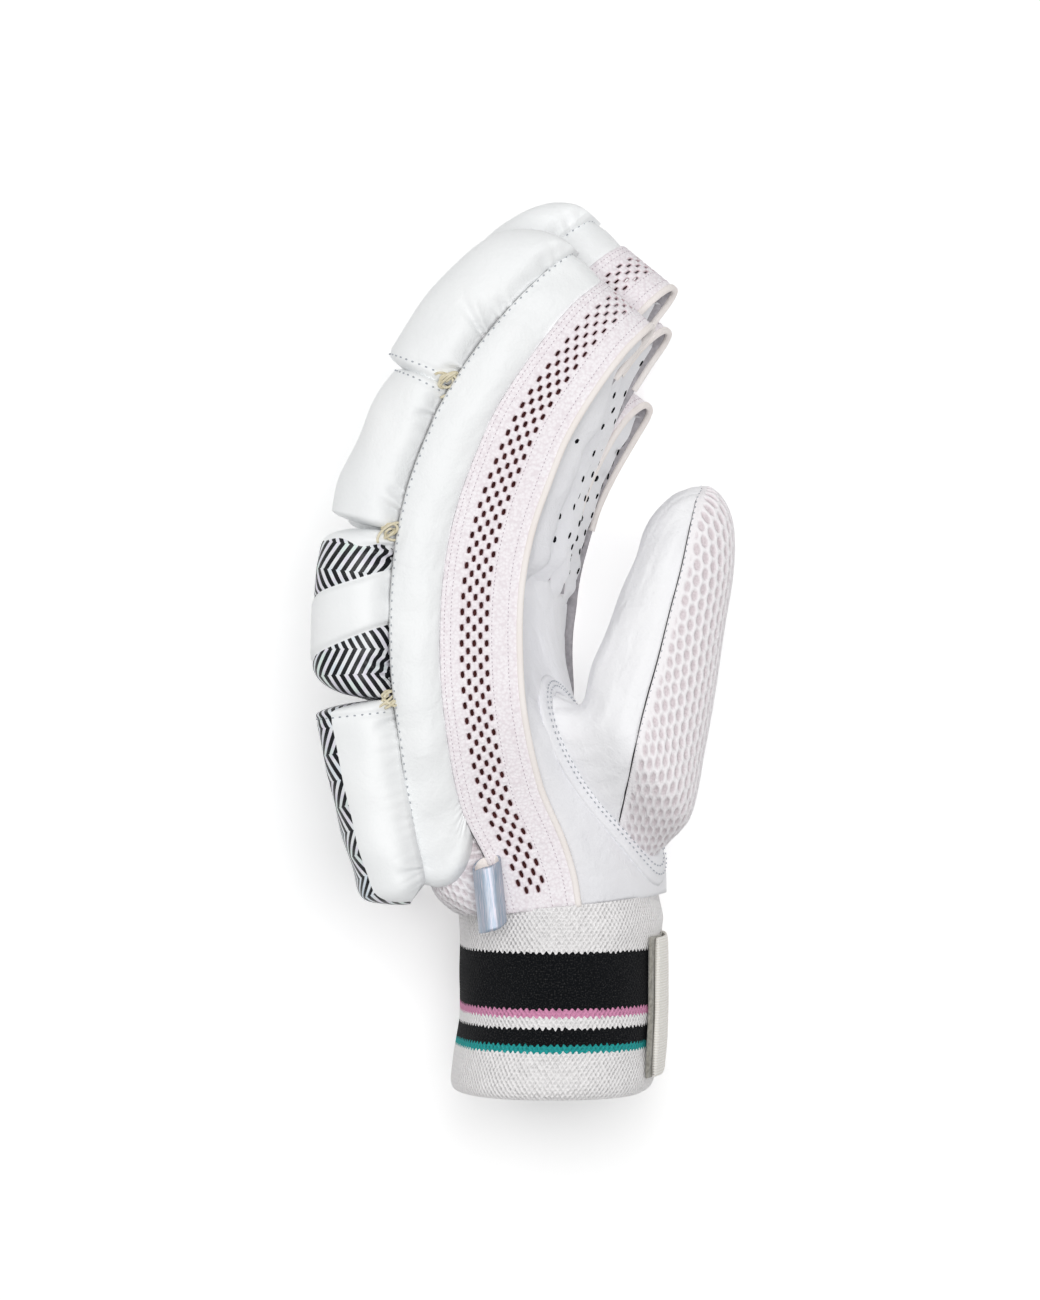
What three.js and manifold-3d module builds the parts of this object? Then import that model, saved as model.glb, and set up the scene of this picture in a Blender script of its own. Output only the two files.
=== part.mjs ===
// A left-hand cricket batting glove, lying on its little-finger side.
// X points to the palm side, Y along the hand to the fingertips, Z up through the thumb side.
// The origin is on the floor, under the middle of the knitted cuff. Lengths are millimetres.
import * as THREE from "three";
import { mergeVertices } from "three/addons/utils/BufferGeometryUtils.js";
import Module from "manifold-3d";

const wasm = await Module();
wasm.setup();

// Sizes of the whole hand
const wristHeight = 29.5; // from the cuff's middle to the wrist seam, along Y
const handRise = 186; // wrist seam to fingertip, along Y
const curlDepth = 47.5; // how far the fingertip stands forward of the knuckles
const knuckleDepth = 34; // how far the side seam at the knuckles lies behind the cuff's middle
const handWidth = 101; // little-finger side to thumb side at the knuckles
const wristWidth = 87; // the same at the wrist seam
const crotchShare = 0.57; // where the fingers part, as a share of handRise
const cupDepth = 18; // how far forward the little finger stands of the index finger
const knuckleDrop = 10; // how far the little finger's root lies below the index finger's
const slimming = 0.1; // how much less deep the little finger is, as a share of the index finger's depth

// Sizes of the pieces
const barWidth = 14.5; // leather side wall, from the pad seam to the knitted gusset
const gussetWidth = 23.5;
const padCrown = 21; // a pad's height over its seam
const outerBarWall = 4.6;
const innerBarWall = 2.4;
const gussetWall = 1.6;
const leatherWall = 1.6;
const liningWall = 2;
const columnGap = 1; // between neighbouring fingers
const floorSpread = 1.4; // how much wider the little finger is, pressed flat by the floor
const padPress = 5; // how much the floor flattens the little finger's pads
const seamGap = 0.35; // between sewn pieces
const flange = 3.2; // how far the gusset's bound edge stands over the palm leather
const tipLength = 11; // length of a finger's rounded end
const palmCrown = 28.5; // bulge of the palm over its edges, at the heel of the hand
const wristCrown = 17; // bulge of the lining at the wrist

// The side view of the index finger and hand, from the wrist seam to the fingertip.
// rise: share of handRise. bow: share of curlDepth. tilt: the section's lean, in degrees.
// bar, gusset, heel: shares of barWidth, gussetWidth and palmCrown. lining: share of wristCrown.
const sideRows = [
  { rise: 0.0, bow: 0.4, tilt: 5, bar: 1.5, gusset: 0.93, heel: 0.95, lining: 0.8 },
  { rise: 0.045, bow: 0.35, tilt: 9, bar: 1.5, gusset: 0.97, heel: 1.0, lining: 1.0 },
  { rise: 0.091, bow: 0.275, tilt: 14, bar: 1.28, gusset: 1.0, heel: 0.98, lining: 1.0 },
  { rise: 0.169, bow: 0.13, tilt: 15, bar: 1.02, gusset: 1.03, heel: 0.86, lining: 1.0 },
  { rise: 0.294, bow: 0.036, tilt: 8.5, bar: 0.94, gusset: 1.0, heel: 0.52, lining: 1.0 },
  { rise: 0.403, bow: 0.0, tilt: 1.5, bar: 0.98, gusset: 1.0, heel: 0.26, lining: 1.0 },
  { rise: 0.527, bow: 0.017, tilt: -6, bar: 1.01, gusset: 0.99, heel: 0.12, lining: 1.0 },
  { rise: 0.637, bow: 0.097, tilt: -15, bar: 1.04, gusset: 0.99, heel: 0.08, lining: 1.0 },
  { rise: 0.746, bow: 0.252, tilt: -24, bar: 1.03, gusset: 0.98, heel: 0.08, lining: 1.0 },
  { rise: 0.809, bow: 0.374, tilt: -29.5, bar: 0.99, gusset: 0.95, heel: 0.08, lining: 1.0 },
  { rise: 0.883, bow: 0.571, tilt: -36, bar: 0.94, gusset: 0.91, heel: 0.08, lining: 1.0 },
  { rise: 0.957, bow: 0.803, tilt: -40, bar: 0.84, gusset: 0.88, heel: 0.08, lining: 1.0 },
  { rise: 1.0, bow: 1.0, tilt: -42, bar: 0.84, gusset: 0.83, heel: 0.08, lining: 1.0 },
];

// The finger columns, from the thumb side down. length: share of the index finger's, from the crotch.
// curl: turned back from the index finger's bend, in degrees.
const fingers = [
  { name: "index", length: 1.0, curl: 0 },
  { name: "middle", length: 1.14, curl: 3 },
  { name: "ring", length: 1.03, curl: 4 },
  { name: "little", length: 0.81, curl: 5 },
];

// The pads on each finger column, from the fingertip down. low, high: shares of handRise.
// crown: share of padCrown. lowEnd, highEnd: lengths of the rounded ends, as shares of padCrown.
// square: 0 for a round roll, 1 for a box. lowTilt: how far the low end leans to the wrist, in degrees.
const padRows = [
  { name: "tip_pad", low: 0.797, high: 1.014, crown: 1.0, lowEnd: 0.2, highEnd: 1.2, square: 0.35 },
  { name: "middle_pad", low: 0.59, high: 0.79, crown: 0.98, lowEnd: 0.12, highEnd: 0.2, square: 0.35 },
  { name: "knuckle_pad", low: 0.35, high: 0.583, crown: 1.1, lowEnd: 0.6, highEnd: 0.7, square: 0.75 },
  { name: "back_pad", low: 0.042, high: 0.342, crown: 1.0, lowEnd: 0.3, highEnd: 0.12, square: 0.75 },
];

// The thumb, from its seam on the palm to its tip. palmX, palmY: the edge towards the fingers.
// backX, backY: the edge away from them. All are shares of thumbLength from the thumb's root point.
// depth: half the thumb's depth along Z, as a share of thumbDepth.
const thumbLength = 102;
const thumbDepth = 17;
const thumbForward = 5; // its root point forward of the cuff's middle, along X
const thumbRise = 23.5; // its root point above the wrist seam, along Y
const thumbDrop = 20; // its middle below the thumb side of the knuckles, along Z
const thumbRoot = new THREE.Vector2(thumbForward, wristHeight + thumbRise);
const thumbLevel = handWidth - thumbDrop;
const thumbRows = [
  { palmX: 0.03, palmY: 0.37, backX: 0.33, backY: 0.05, depth: 1.0 },
  { palmX: 0.06, palmY: 0.49, backX: 0.375, backY: 0.25, depth: 1.0 },
  { palmX: 0.1, palmY: 0.58, backX: 0.405, backY: 0.42, depth: 0.98 },
  { palmX: 0.14, palmY: 0.68, backX: 0.43, backY: 0.59, depth: 0.95 },
  { palmX: 0.18, palmY: 0.78, backX: 0.455, backY: 0.745, depth: 0.9 },
  { palmX: 0.215, palmY: 0.87, backX: 0.46, backY: 0.85, depth: 0.8 },
  { palmX: 0.25, palmY: 0.93, backX: 0.45, backY: 0.92, depth: 0.66 },
  { palmX: 0.295, palmY: 0.975, backX: 0.425, backY: 0.97, depth: 0.45 },
  { palmX: 0.345, palmY: 0.995, backX: 0.395, backY: 0.997, depth: 0.2 },
];
// The thumb's seam on the palm: an oval on the palm's surface, as shares of handRise and of the width.
const thumbSeam = { rise: 0.195, riseHalf: 0.15, across: 0.32, acrossHalf: 0.165 };
const thumbSplit = 93; // where leather meets mesh round the thumb, in degrees from its back edge
const thumbTwist = 25; // how far the base turns against the thumb, in degrees

// The cuff and what is sewn to it
const cuffBottom = -24.6;
const cuffDepth = 59.5; // across, along X
const cuffMiddle = 1; // along X
const cuffWall = 3.2;
const cuffRoll = 5; // how far the hem draws in at the bottom
const strapWidth = 42;
const strapWall = 1.4;
const strapLow = cuffBottom + 5.1;
const patchWall = 1.2;
const tabWidth = 21.4; // of the ribbon, along Y
const tabLow = wristHeight - 4.5; // its lower edge, along Y
const tabReach = 11; // how high the folded ribbon stands off the wrist
const tabDepth = 9.4; // across the loop, along X
const tabMiddle = -19.6; // along X
const tabLean = 0.1; // how far it leans back, as a share of its height
const tabWall = 0.9;

const radians = THREE.MathUtils.degToRad;
const mix = THREE.MathUtils.lerp;
const smooth = (share) => THREE.MathUtils.smoothstep(share, 0, 1);
const power = (value, exponent) => Math.sign(value) * Math.abs(value) ** exponent;
const steps = (count, from = 0, to = 1) =>
  Array.from({ length: count + 1 }, (_, i) => mix(from, to, i / count));

// Every column of a table at one place along its key column, on one smooth curve.
function atKey(rows, key, value) {
  let i = rows.findIndex((row) => row[key] > value) - 1;
  if (i === -2) i = rows.length - 2;
  i = Math.max(0, i);
  const [a, b] = [rows[i], rows[i + 1]];
  const [before, after] = [rows[i - 1] ?? a, rows[i + 2] ?? b];
  const span = b[key] - a[key];
  const t = (value - a[key]) / span;
  const found = {};
  for (const name of Object.keys(a)) {
    const slopeA = (span * (b[name] - before[name])) / (b[key] - before[key]);
    const slopeB = (span * (after[name] - a[name])) / (after[key] - a[key]);
    const past = THREE.MathUtils.clamp(t, 0, 1);
    found[name] =
      a[name] * (2 * past ** 3 - 3 * past ** 2 + 1) +
      b[name] * (3 * past ** 2 - 2 * past ** 3) +
      slopeA * (past ** 3 - 2 * past ** 2 + past) +
      slopeB * (past ** 3 - past ** 2) +
      (t - past) * (b[name] - a[name]);
  }
  return found;
}

// The side seam between the leather wall and the knitted gusset, with the direction to the palm.
function sideAt(rise) {
  const row = atKey(sideRows, "rise", rise);
  return {
    ...row,
    seam: new THREE.Vector2(curlDepth * row.bow - knuckleDepth, wristHeight + handRise * rise),
    toPalm: new THREE.Vector2(Math.cos(radians(row.tilt)), Math.sin(radians(row.tilt))),
  };
}

// Height of the hand's thumb side above the floor at one rise. The little-finger side lies flat on it.
const topLevel = (rise) => mix(wristWidth, handWidth, smooth(rise / 0.36));

const columnPitch = (handWidth - floorSpread) / fingers.length;
const columnHalf = (columnPitch - columnGap) / 2;
fingers.forEach((finger, i) => {
  finger.level = handWidth - columnPitch * (i + 0.5);
});

// A point of the hand. out: distance from the side seam towards the palm. level: height over the floor.
function handPoint(finger, rise, out, level) {
  const { seam, toPalm } = sideAt(rise);
  const root = sideAt(crotchShare).seam;
  if (finger && rise > crotchShare) {
    const back = radians(finger.curl);
    seam.sub(root).rotateAround(new THREE.Vector2(), back).multiplyScalar(finger.length).add(root);
    toPalm.rotateAround(new THREE.Vector2(), back);
  }
  const height = Math.max(0, level);
  const across = (fingers[0].level - height) / (fingers[0].level - fingers.at(-1).level);
  const raised = smooth(rise / 0.45);
  const slim = 1 - slimming * Math.max(0, across) ** 2 * smooth((rise - 0.2) / 0.35);
  return new THREE.Vector3(
    seam.x + toPalm.x * out * slim + cupDepth * across * raised,
    seam.y + toPalm.y * out * slim - knuckleDrop * Math.max(0, across) ** 1.5 * raised,
    height,
  );
}

// A closed solid from a grid of outer points and a grid of inner points. A ring closes each row on itself.
function wall(outer, inner, ring = false) {
  const [rows, columns] = [outer.length, outer[0].length];
  const at = (side, i, j) => (side * rows + i) * columns + (j % columns);
  const last = ring ? columns : columns - 1;
  const faces = [];
  const quad = (a, b, c, d) => faces.push(a, b, c, a, c, d);
  for (let i = 0; i < rows - 1; i++) {
    for (let j = 0; j < last; j++) {
      quad(at(0, i, j), at(0, i, j + 1), at(0, i + 1, j + 1), at(0, i + 1, j));
      quad(at(1, i, j), at(1, i + 1, j), at(1, i + 1, j + 1), at(1, i, j + 1));
    }
    if (ring) continue;
    quad(at(0, i, 0), at(0, i + 1, 0), at(1, i + 1, 0), at(1, i, 0));
    quad(at(0, i, last), at(1, i, last), at(1, i + 1, last), at(0, i + 1, last));
  }
  for (let j = 0; j < last; j++) {
    quad(at(0, 0, j), at(1, 0, j), at(1, 0, j + 1), at(0, 0, j + 1));
    quad(at(0, rows - 1, j), at(0, rows - 1, j + 1), at(1, rows - 1, j + 1), at(1, rows - 1, j));
  }
  return outward([...outer.flat(), ...inner.flat()], faces);
}

// A closed solid through a row of closed loops, with each end closed to its middle.
function loft(loops) {
  const count = loops[0].length;
  const points = loops.flat();
  const faces = [];
  for (let i = 0; i < loops.length - 1; i++) {
    for (let j = 0; j < count; j++) {
      const next = (j + 1) % count;
      const [a, b] = [i * count, (i + 1) * count];
      faces.push(a + j, a + next, b + next, a + j, b + next, b + j);
    }
  }
  for (const [start, turn] of [[0, 1], [(loops.length - 1) * count, 0]]) {
    const middle = new THREE.Vector3();
    for (let j = 0; j < count; j++) middle.addScaledVector(points[start + j], 1 / count);
    points.push(middle);
    for (let j = 0; j < count; j++) {
      const pair = [start + j, start + ((j + 1) % count)];
      faces.push(points.length - 1, pair[turn], pair[1 - turn]);
    }
  }
  return outward(points, faces);
}

// Builds the geometry, with its faces turned outwards.
function outward(points, faces) {
  let volume = 0;
  for (let i = 0; i < faces.length; i += 3) {
    const [a, b, c] = faces.slice(i, i + 3).map((k) => points[k]);
    volume += a.dot(new THREE.Vector3().crossVectors(b, c));
  }
  if (volume < 0) faces.reverse();
  const geometry = new THREE.BufferGeometry().setFromPoints(points);
  geometry.setIndex(faces);
  return geometry;
}

function toSolid(geometry) {
  const bare = geometry.clone();
  bare.deleteAttribute("normal");
  bare.deleteAttribute("uv");
  const merged = mergeVertices(bare, 1e-3);
  const mesh = new wasm.Mesh({
    numProp: 3,
    vertProperties: merged.attributes.position.array,
    triVerts: new Uint32Array(merged.index.array),
  });
  return new wasm.Manifold(mesh);
}

function toGeometry(solid) {
  const mesh = solid.getMesh();
  const geometry = new THREE.BufferGeometry();
  geometry.setAttribute("position", new THREE.BufferAttribute(mesh.vertProperties, 3));
  geometry.setIndex(new THREE.BufferAttribute(mesh.triVerts, 1));
  return geometry;
}

// Materials, as the photograph shows them
const finish = (color, roughness, metalness = 0) =>
  new THREE.MeshStandardMaterial({ color, roughness, metalness });
const whiteLeather = finish(0xf2f2f3, 0.45);
const palmLeather = finish(0xe9eaee, 0.55);
const gussetKnit = finish(0xf0e6ea, 0.85);
const spacerMesh = finish(0xeae2e6, 0.85);
const patternedLeather = finish(0x9a9ca2, 0.4);
const cuffKnit = finish(0xece8e6, 0.95);
const strapWeb = finish(0xd8d5cc, 0.9);
const loopFleece = finish(0x8f8c84, 1.0);
const silverRibbon = finish(0xb9c0cc, 0.25, 0.8);

const glove = new THREE.Group();
glove.name = "cricket_batting_glove";
function add(name, geometry, material) {
  const mesh = new THREE.Mesh(geometry, material);
  mesh.name = name;
  glove.add(mesh);
}

// How much of a finger's half width is left at one rise, from 1 along it to 0 at its round end.
const tipShare = tipLength / (handRise * 0.63);
function roundness(rise, tipRise) {
  const into = THREE.MathUtils.clamp((rise - tipRise + tipShare) / tipShare, 0, 1);
  return (1 - into ** 2.6) ** (1 / 2.6);
}

// The way round a finger's side, as rise and height: down one side, round the tip, down the other.
function roundFinger(finger, inset, topStart, lowStart) {
  const tipRise = 1 - (inset * tipShare) / tipLength;
  const straight = tipRise - tipShare;
  const isTop = finger === fingers[0];
  const isLow = finger === fingers.at(-1);
  const topSide = (rise) => (isTop ? topLevel(rise) : finger.level + columnHalf) - inset;
  const lowSide = () => (isLow ? 0 : finger.level - columnHalf) + inset;
  const way = [];
  const run = (start) => steps(start < 0.3 ? 15 : 6, start, straight);
  for (const rise of run(topStart)) way.push({ rise, level: topSide(rise) });
  const [high, low] = [topSide(straight), lowSide(straight)];
  for (const turn of steps(8, 0, Math.PI).slice(1, -1)) {
    way.push({
      rise: straight + tipShare * power(Math.sin(turn), 0.8),
      level: mix(low, high, 0.5 + 0.5 * power(Math.cos(turn), 0.8)),
    });
  }
  for (const rise of run(lowStart).reverse()) way.push({ rise, level: lowSide(rise) });
  return way;
}

// Knitted gussets: a strip that runs up one side of a finger, over its tip and down the other side.
// The index finger's and little finger's outer strips run on to the wrist seam.
function gusset(finger, index) {
  const starts = [index === 0 ? 0.004 : crotchShare, index === fingers.length - 1 ? 0.004 : crotchShare];
  const surface = (inset) =>
    roundFinger(finger, inset, ...starts).map(({ rise, level }) =>
      [seamGap, gussetWidth * 0.5, gussetWidth].map((out) =>
        handPoint(finger, rise, out === seamGap ? out : out * sideAt(rise).gusset, level),
      ),
    );
  return wall(surface(0), surface(gussetWall));
}

// The index finger's gusset is an open knit, with three rows of holes along its outer side.
const holeLength = 4.6;
const holeWidth = 2.6;
const holeRows = 29;
const holeColumns = [0.3, 0.45, 0.6];
function pierce(geometry) {
  let solid = toSolid(geometry);
  for (let i = 0; i < holeRows; i++) {
    for (const [k, share] of holeColumns.entries()) {
      const rise = mix(0.045, 0.87, (i + (k % 2) / 2) / holeRows);
      const level = topLevel(rise);
      const corner = (along, across) =>
        handPoint(fingers[0], rise + along / handRise, across + share * gussetWidth, level);
      const [far, near] = [holeLength / 2, holeWidth / 2];
      const corners = [corner(-far, 0), corner(0, near), corner(far, 0), corner(0, -near)];
      const loops = [level - gussetWall * 2, level + gussetWall].map((z) =>
        corners.map(({ x, y }) => new THREE.Vector3(x, y, z)),
      );
      solid = solid.subtract(toSolid(loft(loops)));
    }
  }
  return toGeometry(solid);
}

// Leather side walls between the pads and the gusset, round each finger. The two outer ones are filled
// with foam, and each ends over the wrist in a rounded lobe.
const lobeLow = 0.064; // shares of handRise
const lobeRise = 0.062;
function sideWall(finger, index) {
  const isFirst = index === 0;
  const isLast = index === fingers.length - 1;
  const starts = [isFirst ? lobeLow : crotchShare, isLast ? lobeLow : crotchShare];
  const outerSide = (level) => (level > finger.level ? isFirst : isLast);
  const surface = (inset, puff) =>
    roundFinger(finger, inset, ...starts).map(({ rise, level }) =>
      [0, 0.35, 0.7, 1].map((share) => {
        const foam = outerSide(level) ? (outerBarWall - innerBarWall) * (1 - smooth((rise - 0.85) / 0.12)) : 0;
        const swell = puff * foam * Math.sin(Math.PI * mix(0.12, 0.88, share));
        const lobe = outerSide(level) ? lobeRise * share ** 3 * (1 - smooth((rise - lobeLow) / 0.16)) : 0;
        const out = mix(-barWidth * sideAt(rise + lobe).bar, -seamGap, share);
        const widening = topLevel(rise + lobe) - topLevel(rise);
        const moved = level > finger.level ? level + widening + swell : level - swell;
        return handPoint(finger, rise + lobe, out, moved);
      }),
    );
  return wall(surface(0, 1), surface(innerBarWall, 0));
}

// A pad: a roll of foam under leather, flat on the hand and rounded over the crown and at both ends.
function pad(finger, row) {
  const length = (row.high - row.low) * handRise;
  const endCurve = (share, end) => {
    const left = THREE.MathUtils.clamp((share * length) / (end * padCrown), 0, 1);
    return Math.sqrt(1 - (1 - left) ** 2);
  };
  const bulge = mix(0.8, 0.42, row.square);
  const loops = steps(7, 0.045, 0.955).map((turn) => {
    const share = 0.5 - 0.5 * Math.cos(Math.PI * turn);
    const rise = mix(row.low, row.high, share);
    const full = endCurve(share, row.lowEnd) * endCurve(1 - share, row.highEnd);
    const half = columnHalf * mix(0.82, 1, full);
    const lowHalf = finger === fingers.at(-1) ? (finger.level + padPress) * mix(0.82, 1, full) : half;
    const crown = Math.max(padCrown * row.crown * full, 1.2);
    const base = barWidth * sideAt(rise).bar + seamGap * 1.4;
    return steps(9, 0, Math.PI).map((round) => {
      const level = finger.level + (Math.cos(round) < 0 ? lowHalf : half) * power(Math.cos(round), bulge);
      return handPoint(finger, rise, -base - crown * power(Math.sin(round), bulge), level);
    });
  });
  return loft(loops);
}

// Across the hand, 0 at the thumb side and 1 at the little-finger side: the height and the swell there.
const bend = radians(83); // half the turn of the hand's curved cross-section
function acrossHand(rise, share, inset, flat) {
  const [high, low] = [topLevel(rise) - inset, inset];
  const turn = mix(bend, -bend, share);
  return {
    level: (high + low) / 2 + ((high - low) / 2) * (Math.sin(turn) / Math.sin(bend)),
    swell: power((Math.cos(turn) - Math.cos(bend)) / (1 - Math.cos(bend)), flat),
  };
}

// The palm's surface. depth goes in from the outside.
function palmPoint(rise, share, depth) {
  const inset = gussetWall + seamGap;
  const row = sideAt(rise);
  const { level, swell } = acrossHand(rise, share, inset, 1);
  const edge = gussetWidth * row.gusset - flange * smooth(rise / 0.12);
  return handPoint(null, rise, edge + palmCrown * row.heel * swell - depth, level);
}

// The rises along the flat strip on one side of a finger, from the crotch into its rounded end.
function stripRises(inset, count, low) {
  const tipRise = 1 - (inset * tipShare) / tipLength - 0.004;
  const straight = tipRise - tipShare;
  const rounded = [0.4, 0.75, 0.96].map((share) => mix(straight, tipRise, share));
  return [...steps(count, low, straight), ...rounded].map((rise) => ({ rise, round: roundness(rise, tipRise) }));
}

// The front of one finger: a strip of palm leather between its gusset's sides.
function fingerFront(finger) {
  const inset = gussetWall + seamGap;
  const surface = (depth) =>
    stripRises(inset, 5, crotchShare - 0.012).map(({ rise, round }) =>
      [-1, 0, 1].map((share) => {
        const { gusset, heel } = sideAt(rise);
        const out = gussetWidth * gusset - flange + palmCrown * heel * (1 - share * share) - depth;
        return handPoint(finger, rise, out, finger.level + (columnHalf - inset) * share * round);
      }),
    );
  return wall(surface(0), surface(leatherWall));
}

// Palm leather: the palm and the four finger fronts are cut in one, with a hole where the thumb opens.
function palm() {
  const surface = (depth) =>
    steps(11, 0.004, crotchShare).map((rise) => steps(14).map((share) => palmPoint(rise, share, depth)));
  let solid = toSolid(wall(surface(0), surface(leatherWall)));
  for (const finger of fingers) solid = solid.add(toSolid(fingerFront(finger)));
  const hole = [8, -8].map((depth) => seamLoop(14, 2.4, depth));
  return toGeometry(solid.subtract(toSolid(loft(hole))));
}

// A point on the thumb's oval seam on the palm. inset shrinks it; depth goes in from the palm's surface.
function seamPoint(turn, inset, depth) {
  const shrunk = 1 - inset / (thumbSeam.riseHalf * handRise);
  const rise = thumbSeam.rise - thumbSeam.riseHalf * shrunk * Math.cos(turn);
  const share = thumbSeam.across - thumbSeam.acrossHalf * shrunk * Math.sin(turn);
  return palmPoint(rise, share, depth);
}

function seamLoop(count, inset, depth) {
  return steps(count, 0, 2 * Math.PI).slice(0, -1).map((turn) => seamPoint(turn, inset, depth));
}

// One point round the thumb. row 0 is the seam on the palm. turn 0 is the back edge, a quarter turn the top.
function thumbPoint(row, turn, inset) {
  if (row === 0) {
    return seamPoint(turn - radians(thumbTwist) * (1 + Math.sin(turn)), inset, -seamGap);
  }
  const { palmX, palmY, backX, backY, depth } = thumbRows[row - 1];
  const palmEdge = new THREE.Vector2(palmX, palmY).multiplyScalar(thumbLength).add(thumbRoot);
  const backEdge = new THREE.Vector2(backX, backY).multiplyScalar(thumbLength).add(thumbRoot);
  const half = palmEdge.distanceTo(backEdge) / 2;
  const middle = palmEdge.lerp(backEdge, 0.5);
  const reach = backEdge.sub(middle).multiplyScalar(Math.max(0.2, 1 - inset / half));
  const high = Math.max(0.2 * thumbDepth * depth, thumbDepth * depth - inset);
  return new THREE.Vector3(
    middle.x + reach.x * power(Math.cos(turn), 0.9),
    middle.y + reach.y * power(Math.cos(turn), 0.9) - (row === thumbRows.length ? inset : 0),
    thumbLevel + high * power(Math.sin(turn), 0.9),
  );
}

// Half of the thumb's tube, from one seam to the other.
function thumbHalf(from, to) {
  const turns = steps(8, radians(from), radians(to));
  const surface = (inset) =>
    steps(thumbRows.length).map((_, row) => turns.map((turn) => thumbPoint(row, turn, inset)));
  return wall(surface(0), surface(leatherWall));
}

// The lining under the pads: spacer mesh across the back of the hand and up the back of each finger.
function lining() {
  const inset = innerBarWall + seamGap;
  const handBack = (depth) =>
    steps(11, 0.004, crotchShare).map((rise) =>
      steps(12).map((share) => {
        const row = sideAt(rise);
        const { level, swell } = acrossHand(rise, share, inset, mix(0.9, 0.3, smooth(rise / 0.12)));
        const out = Math.min(wristCrown * row.lining, barWidth * row.bar) * swell;
        return handPoint(null, rise, depth - out, level);
      }),
    );
  let solid = toSolid(wall(handBack(0), handBack(liningWall)));
  for (const finger of fingers) {
    const back = (depth) =>
      stripRises(inset, 5, crotchShare - 0.02).map(({ rise, round }) =>
        [-1, 1].map((share) => {
          const level = finger.level + (columnHalf - inset) * share * round;
          return handPoint(finger, rise, depth - barWidth * sideAt(rise).bar, level);
        }),
      );
    solid = solid.add(toSolid(wall(back(0), back(liningWall))));
  }
  return toGeometry(solid);
}

// A point round the cuff, on the surface that lies grow outside it. Its floor side is flattened.
function cuffPoint(turn, y, grow) {
  const hem = Math.max(0, 1 - (y - cuffBottom) / cuffRoll);
  const flare = smooth(-y / 25);
  const half = wristWidth / 2;
  const x = (cuffDepth / 2 + grow - 1.6 * hem ** 2 + 0.8 * flare) * power(Math.cos(turn), 0.86);
  const z = (half + grow - 1.6 * hem ** 2 + 0.8) * power(Math.sin(turn), 0.86);
  return new THREE.Vector3(x + cuffMiddle - 2 * flare, y, half + Math.max(z, -half));
}

// The cuff: a knitted tube, oval across, drawn in at its hem, with its top cut to the wrist seam's slant.
function cuff() {
  const { seam, tilt } = sideAt(0);
  const layer = (grow) =>
    [0, 0.035, 0.1, 0.3, 0.7, 1].map((share) =>
      steps(26, 0, 2 * Math.PI).slice(0, -1).map((turn) => {
        const { x } = cuffPoint(turn, 0, grow);
        const top = seam.y + (x - seam.x) * Math.tan(radians(tilt)) + 0.4;
        return cuffPoint(turn, mix(cuffBottom, top, share), grow);
      }),
    );
  return wall(layer(0), layer(-cuffWall), true);
}

// A band laid on the palm side of the cuff, between two directions round it.
function cuffBand(from, to, grow, thickness) {
  const layer = (lift) =>
    steps(2, strapLow, strapLow + strapWidth).map((y) =>
      steps(9, radians(from), radians(to)).map((turn) => cuffPoint(turn, y, lift)),
    );
  return wall(layer(grow + thickness), layer(grow));
}

// The pull tab: a ribbon folded to a loop that stands on the wrist seam.
function tab() {
  const layer = (inset) =>
    [tabLow, tabLow + tabWidth].map((y) => {
      const low = topLevel((y - wristHeight) / handRise) + seamGap * 2;
      return steps(12, 0, 2 * Math.PI).slice(0, -1).map((turn) => {
        const x = tabMiddle + (tabDepth / 2 - inset) * Math.cos(turn) - (y - tabLow) * tabLean;
        const z = low + tabReach / 2 + (tabReach / 2 - inset) * Math.sin(turn);
        return new THREE.Vector3(x, y, z);
      });
    });
  return wall(layer(0), layer(tabWall), true);
}

fingers.forEach((finger, index) => {
  const knit = gusset(finger, index);
  add(`${finger.name}_gusset`, index === 0 ? pierce(knit) : knit, gussetKnit);
  add(`${finger.name}_side_wall`, sideWall(finger, index), whiteLeather);
  for (const row of padRows) {
    const material = row.square > 0.5 ? patternedLeather : whiteLeather;
    add(`${finger.name}_${row.name}`, pad(finger, row), material);
  }
});
add("palm_leather", palm(), palmLeather);
add("back_lining", lining(), spacerMesh);
add("thumb_leather", thumbHalf(thumbSplit + 1, 360 - thumbSplit - 1), palmLeather);
add("thumb_mesh", thumbHalf(-thumbSplit, thumbSplit), spacerMesh);
add("cuff", cuff(), cuffKnit);
add("loop_patch", cuffBand(-60, 31, seamGap, patchWall), loopFleece);
add("strap", cuffBand(-54, 28, seamGap * 2 + patchWall, strapWall), strapWeb);
add("pull_tab", tab(), silverRibbon);

export default glove;
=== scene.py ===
# A left-hand cricket batting glove of white leather, foam and knit, lying on its little-finger side.
# X points to the palm side, Y to the fingertips, Z up through the thumb side. Shapes are worked out
# in millimetres and built in metres.
import math

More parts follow.
